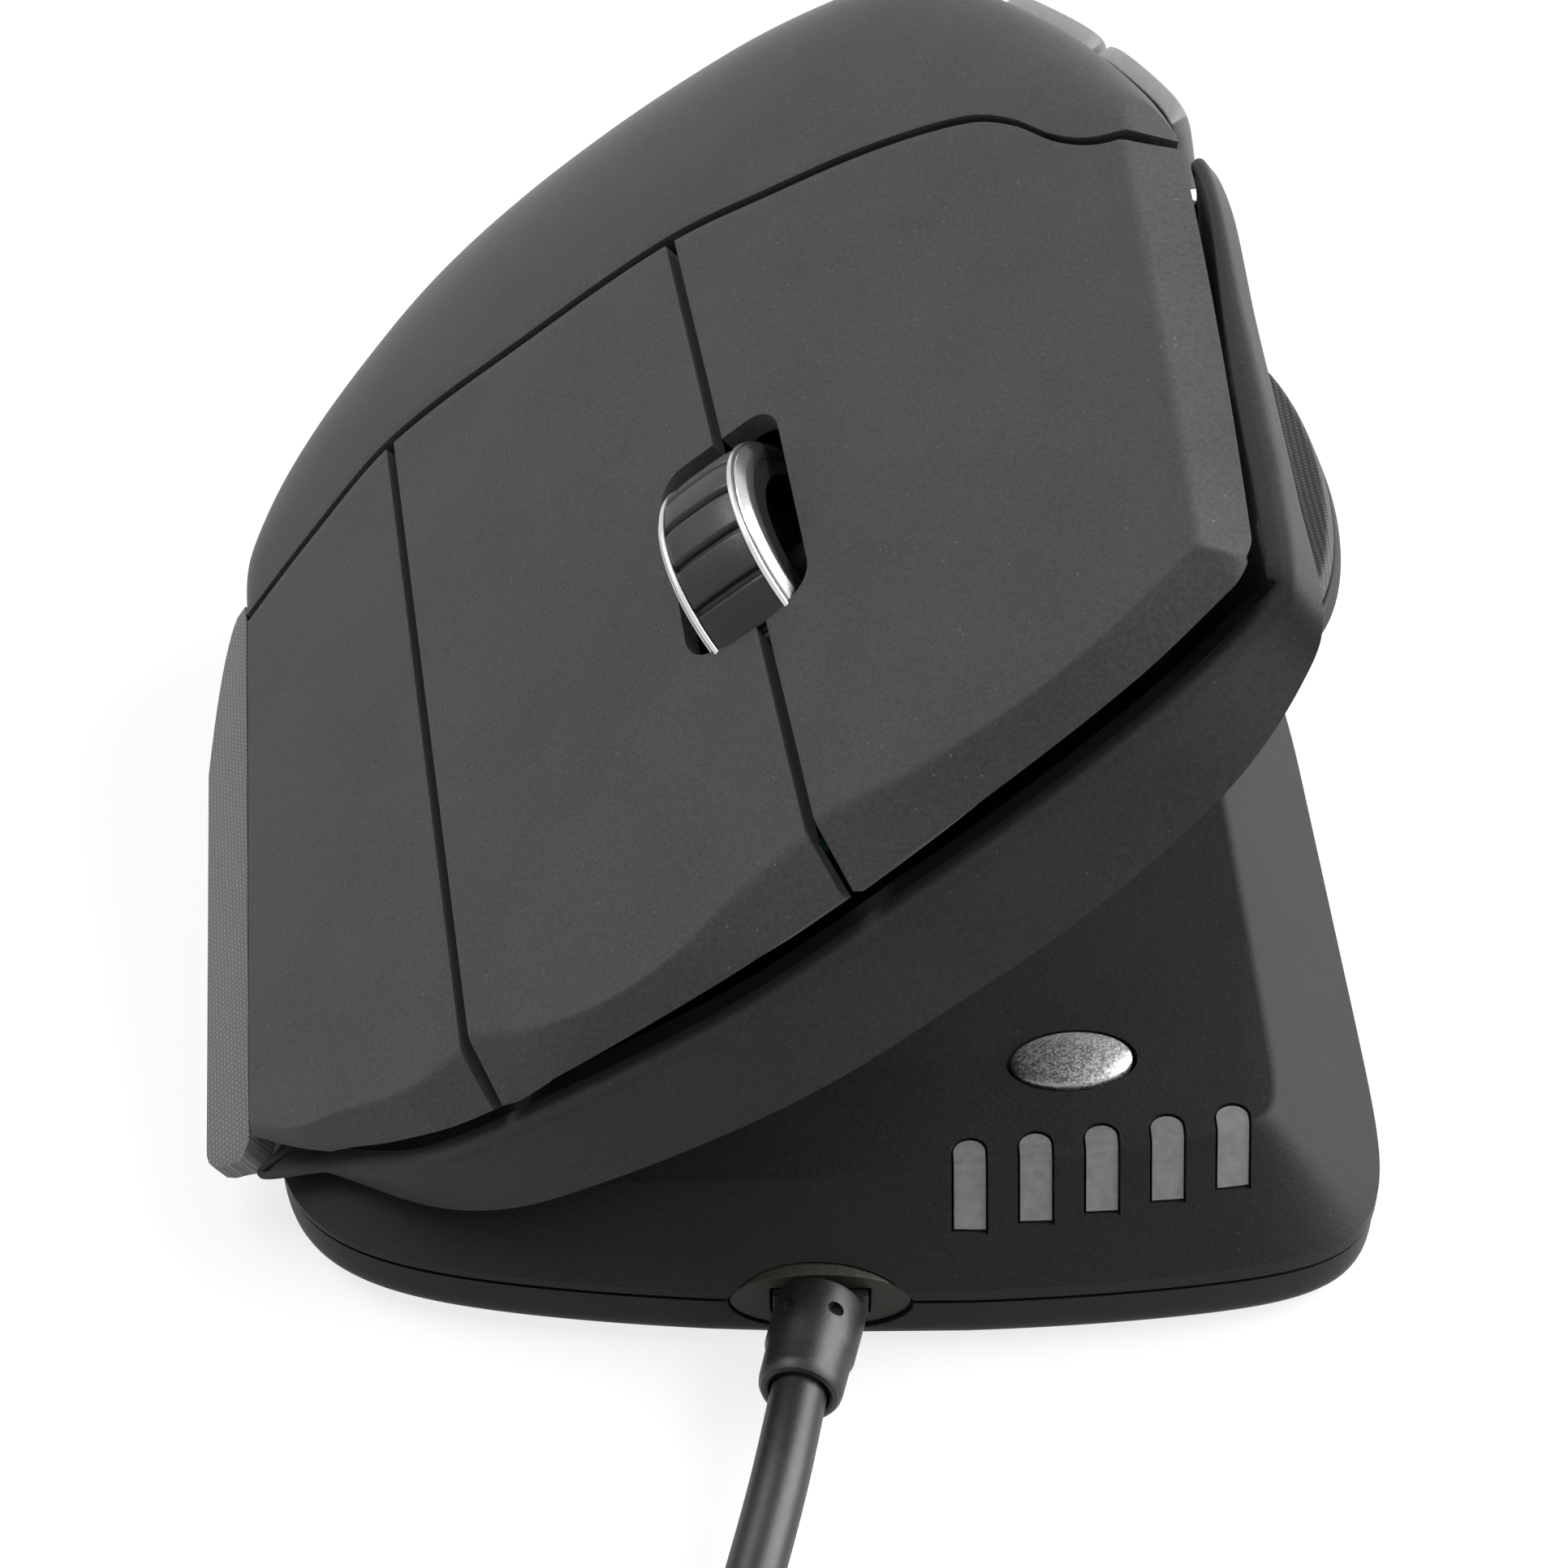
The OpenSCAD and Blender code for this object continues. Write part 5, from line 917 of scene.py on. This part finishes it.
def shell_section(outline, i):
    """One station of the bowl: up its outside, over the rolled rim, along the ledge and down its inside."""
    n = len(outline)
    p = outline[i]
    way = (outline[(i + 1) % n] - outline[i - 1]).xy
    inward = Vector((-way.y, way.x)).normalized()
    wall = mix(TIP_WALL, HULL_WALL, ease((p.xy - outline[0].xy).length / TIP_RUN))
    wall *= mix(1, mix(1, THUMB_THIN, ease((p.y - THIN_Y) / THIN_RUN)), ease((p.x - THIN_A) / THIN_WIDTH))
    rim = p[3]

    def outside(share):
        spot = HULL_MID + (p.xy - HULL_MID) * share
        low = soft_max(mix(-BELLY_DEPTH, rim - p[2], share ** BELLY_CURVE), flat_at(*spot), 2)
        return Vector((*spot, min(low, rim - 0.3)))

    def at(inset, z):
        return Vector((*(p.xy + inward * inset), z))
    points = [outside(k / BELLY_ROWS) for k in range(BELLY_ROWS + 1)]
    foot = points[-1].z
    r = min(0.45 * wall, 0.6 * (rim - foot))
    points += [at(0, mix(foot, rim - r, k / 4)) for k in range(1, 5)]
    points += [at(r * (1 - cos(w)), rim - r + r * sin(w)) for w in [pi / 2 * k / 8 for k in range(1, 9)]]
    points += [at(wall - 0.2, rim), at(wall, rim - 0.2)]
    sole = min(foot + wall, rim - 0.6)
    deep, thick = (min(x, 0.4 * (rim - sole)) for x in (LEDGE_DROP, 0.8))
    reach = wall + 0.02 + LEDGE_W * min(ease((i - LEDGE[0]) / HULL_STEPS), ease((LEDGE[1] - i) / HULL_STEPS))
    points += [at(wall, rim - deep), at(reach, rim - deep), at(reach, rim - deep - thick),
               at(wall, rim - deep - thick)]
    for k in range(BELLY_ROWS, -1, -1):
        share = k / BELLY_ROWS
        spot = HULL_MID + (at(wall, 0).xy - HULL_MID) * share
        points.append(Vector((*spot, min(outside(share).z + wall, rim - 0.6))))
    return points


def lower_shell():
    """Bowl of the upper body: round belly, the flat that folds onto the base, upright band round its rim."""
    outline = hull_outline()
    n = len(outline)
    sections = [shell_section(outline, i) for i in range(n)]
    rows = len(sections[0]) - 1
    bm = sew(grid(n, rows, lambda u, v: sections[int(round(u * n)) % n][int(round(v * rows))]))
    outward(bm)
    joins = barrels(True, BARREL_R, HINGE_IN_BODY, -KNUCKLE_GAP)
    clear = barrels(False, BARREL_R + AIR, HINGE_IN_BODY, KNUCKLE_GAP, 4)
    bore = hinge_hole(PIN_R + PIN_AIR, HINGE_IN_BODY, 32)
    wells = gather(*[rod(HEAD_R, 30, (a, y, seat - 30), "Z", 48) for a, y, seat in HEADS])
    sleeve = block((SLEEVE_IN, REST_Y - SLEEVE_W / 2, ARM_Z - SLEEVE_H / 2),
                   (SLEEVE_OUT, REST_Y + SLEEVE_W / 2, ARM_Z + SLEEVE_H / 2))
    bmesh.ops.transform(sleeve, matrix=BODY.inverted() @ BASE, verts=sleeve.verts[:])
    return piece("belly_shell", bm, BODY, "upper_body", HULL_SHADED, ["lower_shell"],
                 steps=[("UNION", joins), ("DIFFERENCE", clear), ("DIFFERENCE", bore), ("DIFFERENCE", sleeve),
                        ("DIFFERENCE", wells)])


lower_shell()

# Rubber grip on the little-finger side
GRIP_W, GRIP_GAP, GRIP_DROP, GRIP_H, EDGE_START, EDGE_THIN = 5.5, 0.5, 0.5, 3.2, 8, 1.1
# Lowest level, clear of the hinge, and how far it dips at the front
GRIP_LOW, GRIP_DIP, DIP_Y, DIP_RUN = HINGE_IN_BODY.z + 2.4, 1.4, -44, 6
# Where its rounded front end begins and how long that end is, and the taper towards its back end
GRIP_FRONT, GRIP_END, GRIP_BACK, GRIP_TAPER = -43.2, 3.3, 8.2, 15


def grip_section(y):
    t = clamp((y - DECK_FRONT - EDGE_START) / (PALM_LINE[0][1] - DECK_FRONT - EDGE_START))
    edge = mix(FINGER_EDGE[0], FINGER_EDGE[1], t)
    past = max(GRIP_FRONT - y, 0)
    inner = HULL_LEFT - 0.1 - past
    out = min(edge - GRIP_GAP, inner)
    floor_c = mix(GRIP_LOW - GRIP_DIP, GRIP_LOW, ease((y - DIP_Y) / DIP_RUN))
    back = max(clamp((GRIP_BACK - y) / GRIP_TAPER), 0.001) ** 0.42
    w = GRIP_W * back * sqrt(max(1 - (past / GRIP_END) ** 2, 0.02))
    top = max(deck(out - w, y) - GRIP_DROP, floor_c + 0.6)
    low = flat_c(inner) + 0.2 - 0.5 * clamp(past)
    under = max(deck(edge, y) - EDGE_THIN - 1.4 - clamp(past), low + 0.4)
    return [Vector(p) for p in (
        (inner, y, low), (out - 0.75 * w, y, max(top - GRIP_H, floor_c)),
        (out - w, y, max(top - GRIP_H / 2, floor_c + 0.3)),
        (out - w, y, top), (out, y, deck(edge, y) - 0.3), (out, y, under), (inner, y, under))]


def side_grip():
    first, last, corners = GRIP_FRONT - GRIP_END, 7.6, 7

    def place(u, v):
        section = grip_section(mix(last, first, v))
        k = int(round(u * corners)) % corners
        return section[k]
    bm = sew(grid(corners, 72, place), 1e-5)
    for y in (first, last):
        cap(bm, lambda p: abs(p.y - y) < 1e-3)
    outward(bm)
    cut = hinge_hole(BARREL_R + AIR, HINGE_IN_BODY)
    return piece("grip_strip", bm, BODY, "upper_body", GRIP, ["side_grip"], edge=0.45,
                 segments=4, steps=[("DIFFERENCE", cut)], edge_angle=25)


side_grip()

# Thumb buttons
THUMB_SPANS = ((-9.6, 3.2), (4, 15))
THUMB_OUT = 0.5


def edge_share(y):
    lo, hi = 0.55, 1
    for _ in range(24):
        m = (lo + hi) / 2
        lo, hi = (m, hi) if along(BACK_LINE, m).y > y else (lo, m)
    return (lo + hi) / 2


def thumb_key(name, body, node, span):
    def place(u, v):
        y = mix(span[1], span[0], u)
        s = edge_share(y)
        p = along(BACK_LINE, s)
        top = palm_edge(s) - AIR
        c = mix(top - THUMB_KEY_H + AIR, top, v)
        swell = sqrt(max(1 - (2 * v - 1) ** 4, 0.1)) * sqrt(max(1 - (2 * u - 1) ** 6, 0.2))
        return Vector((p.x - THUMB_LEAN * (top - c) + THUMB_OUT * swell, y, c))
    return piece(name, grid(48, 20, place), BODY, body, THUMB_KEY_PAINTED_HIGHLIGHT, [node], wall=1.3,
                 edge=0.25)


thumb_key("thumb_key_forward", "thumb_key_front", "thumb_button_front", THUMB_SPANS[0])
thumb_key("thumb_key_rear", "thumb_key_back", "thumb_button_back", THUMB_SPANS[1])

# Scroll wheel: ribbed tyre between two bright rings
TYRE_T, RING_W, GROOVES, GROOVE_D = 1.9, 1.1, 18, 0.5
WHEEL = BODY @ Matrix.Translation((WHEEL_A, WHEEL_Y, WHEEL_C))


def turned(profile, sides, shape=None):
    """A ring about the wheel's axle, from a closed profile of (across, radius) points."""
    m = len(profile)

    def place(u, v):
        w = 2 * pi * (u % 1)
        x, r = profile[int(round(v * m)) % m]
        if shape:
            r = shape(r, w)
        return Vector((x, r * cos(w), r * sin(w)))
    return outward(sew(grid(sides, m, place)))


def wheel_tyre():
    half, inner = WHEEL_W / 2 - RING_W - 0.02, WHEEL_R - TYRE_T
    profile = [(half * t, WHEEL_R - 0.25 * abs(t) ** 4) for t in [k / 8 for k in range(-8, 9)]]
    profile += [(half, inner), (-half, inner)]

    def ribs(r, w):
        if r < inner + 0.1:
            return r
        near = abs((w * GROOVES / (2 * pi)) % 1 - 0.5) * 2
        return r - GROOVE_D * ease((near - 0.78) / 0.16)
    return piece("wheel_tread", turned(profile, GROOVES * 24, ribs), WHEEL, "wheel", TYRE,
                 ["wheel_tyre"], crisp=45)


def wheel_rings():
    outer, inner = WHEEL_R - 0.05, WHEEL_R - TYRE_T
    # Depth under the crown, in from the outer face: a chamfered flank, a fine groove and a rounded crown
    steps = ((0, 1.15), (0.06, 1.0), (0.42, 0.36), (0.5, 0.34), (0.53, 0.5), (0.61, 0.5), (0.64, 0.16),
             (0.72, 0.05), (0.85, 0), (0.98, 0.04), (1.06, 0.12), (RING_W, 0.3))
    rings = []
    for side in (-1, 1):
        profile = [(side * (WHEEL_W / 2 - x), outer - d) for x, d in steps]
        profile += [(side * (WHEEL_W / 2 - RING_W), inner), (side * WHEEL_W / 2, inner)]
        rings.append(turned(profile, 144))
    return piece("wheel_trim", gather(*rings), WHEEL, "wheel", CHROME, ["wheel_rings"],
                 crisp=40)


wheel_tyre()
wheel_rings()

# Thumb support: a shallow dish with a rubber pad, on its lugs
REST_X, REST_Z, REST_L, REST_W, REST_T, PAD_T, REST_CUP = 35, 29.4, 44, 14, 1.8, 1.6, 1.6
TILT_X, LUG_R, LUG_T, LUG_AIR, LINK_W, TILT_BORE_R = 36, 2.6, 2, 0.3, 6, 1.55


def dish(inset, low, thick):
    rows = 20

    def place(u, v):
        w = 2 * pi * (u % 1)
        return Vector((REST_X + (REST_W / 2 - inset) * v * cos(w), REST_Y + (REST_L / 2 - inset) * v * sin(w),
                       REST_Z + REST_CUP * v * v + low + thick))
    bm = sew(grid(120, rows, place))
    for f in bm.faces:
        if f.normal.z < 0:
            f.normal_flip()
    return bm


def thumb_rest():
    lugs = []
    for y in (REST_Y + LINK_W / 2 + LUG_AIR, REST_Y - LINK_W / 2 - LUG_AIR - LUG_T):
        lugs += [rod(LUG_R, LUG_T, (TILT_X, y, ARM_Z), sides=48),
                 block((TILT_X - LUG_R, y, ARM_Z), (TILT_X + LUG_R, y + LUG_T, REST_Z + 0.8))]
    bore = rod(TILT_BORE_R, 20, (TILT_X, REST_Y - 10, ARM_Z), sides=48)
    steps = [("UNION", shape) for shape in lugs] + [("DIFFERENCE", bore)]
    return piece("rest_dish", dish(0, 0, REST_T), BASE, "support_rest", INNER,
                 ["thumb_rest"], wall=REST_T, edge=0.5, segments=4, steps=steps)


thumb_rest()
piece("rest_pad", dish(0.8, REST_T + 0.02, PAD_T), BASE, "support_rest", PAD, ["thumb_pad"],
      wall=PAD_T, edge=0.6, segments=4)

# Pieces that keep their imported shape, with real finishes and rounded edges where they show
FINISHES = {
    INNER: ("key_frame", "wheel_hub", "wheel_carrier", "arm_sleeve", "thumb_arm", "swivel_link"),
    SWITCH: ("key_switches", "thumb_switches", "dpi_switch", "click_switch", "sensor_chip", "scroll_sensors"),
    CREAM: ("dpi_plunger", "click_plunger", "front_plunger", "back_plunger"),
    RED: ("left_plunger", "right_plunger", "third_plunger"),
    PVC: ("boot_plug", "coil_tie", "plug_grip"),
    BEZEL: ("port_bezel",), LENS: ("sensor_lens",), LAMP: ("indicator_leds",),
    BOARD: ("base_board", "body_board"),
    STEEL: ("base_screws", "body_screws", "board_screws", "hinge_pin", "swivel_pin", "tilt_pin",
            "cord_socket", "plug_shell"),
    BRASS: ("hinge_washers",), GLIDE: ("glide_feet",), WHITE: ("plug_tongue",)}
ROUNDED = {"thumb_arm": 0.5, "swivel_link": 0.4, "plug_grip": 1.0, "coil_tie": 0.2, "glide_feet": 0.3,
           "port_bezel": 0.15, "wheel_carrier": 0.2, "plug_shell": 0.12}
for material, names in FINISHES.items():
    for name in names:
        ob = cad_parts[name]
        for s in ob.material_slots:
            s.material = material
        if name in ROUNDED:
            weld = ob.modifiers.new("weld", "WELD")
            weld.merge_threshold = 0.002 * MM
            m = ob.modifiers.new("edge", "BEVEL")
            m.width, m.segments, m.limit_method, m.angle_limit = ROUNDED[name] * MM, 3, "ANGLE", radians(35)

# Floor, white surroundings and soft light: the floor's own glow and the light from all round
GLOW, LIGHT = 0.8, 0.34
floor = add("floor", bpy.data.meshes.new("floor"))
ground = bmesh.new()
bmesh.ops.create_grid(ground, x_segments=1, y_segments=1, size=3)
ground.to_mesh(floor.data)
ground.free()


def in_sight(tree):
    """One for a ray from the camera, also by way of a shiny or a clear piece."""
    path = put(tree, "ShaderNodeLightPath")
    mirrored = put(tree, "ShaderNodeMath", {"operation": "MAXIMUM"},
                   {0: path.outputs["Is Glossy Ray"], 1: path.outputs["Is Transmission Ray"]})
    seen = put(tree, "ShaderNodeMath", {"operation": "MAXIMUM"},
               {0: path.outputs["Is Camera Ray"], 1: mirrored.outputs[0]})
    return seen.outputs[0]


def paper():
    """White paper sweep: white to the camera, with the object's shadow kept."""
    m, tree, shader, _ = finish_of("white_paper", Roughness=0.9, Base_Color=(0.9, 0.9, 0.9, 1),
                                   Specular_IOR_Level=0.1)
    glow = put(tree, "ShaderNodeEmission", {"Color": (1, 1, 1, 1), "Strength": 1.0})
    share = put(tree, "ShaderNodeMath", {"operation": "MULTIPLY", 1: GLOW}, {0: in_sight(tree)})
    both = put(tree, "ShaderNodeMixShader", {},
               {0: share.outputs[0], 1: shader.outputs[0], 2: glow.outputs[0]})
    tree.links.new(both.outputs[0], tree.nodes["Material Output"].inputs["Surface"])
    return m


floor.data.materials.append(paper())
world = bpy.data.worlds.new("studio")
bpy.context.scene.world = world
world.use_nodes = True
sky = world.node_tree
back = sky.nodes["Background"]
back.inputs["Color"].default_value = (1, 1, 1, 1)
level = put(sky, "ShaderNodeMapRange", {"To Min": LIGHT, "To Max": 1.0}, {"Value": in_sight(sky)})
sky.links.new(level.outputs[0], back.inputs["Strength"])


def lamp(name, at, towards, size, watts):
    data = bpy.data.lights.new(name, "AREA")
    data.shape, data.size, data.energy = "DISK", size, watts
    ob = add(name, data)
    ob.location = at
    ob.rotation_euler = (Vector(towards) - Vector(at)).to_track_quat("-Z", "Y").to_euler()


lamp("top_light", (-0.45, 0.15, 0.75), (0, 0, 0.03), 0.6, 6.0)
lamp("side_light", (0.7, 0.1, 0.45), (0, 0, 0.03), 0.9, 20.0)
bpy.context.scene.view_settings.view_transform = "Standard"
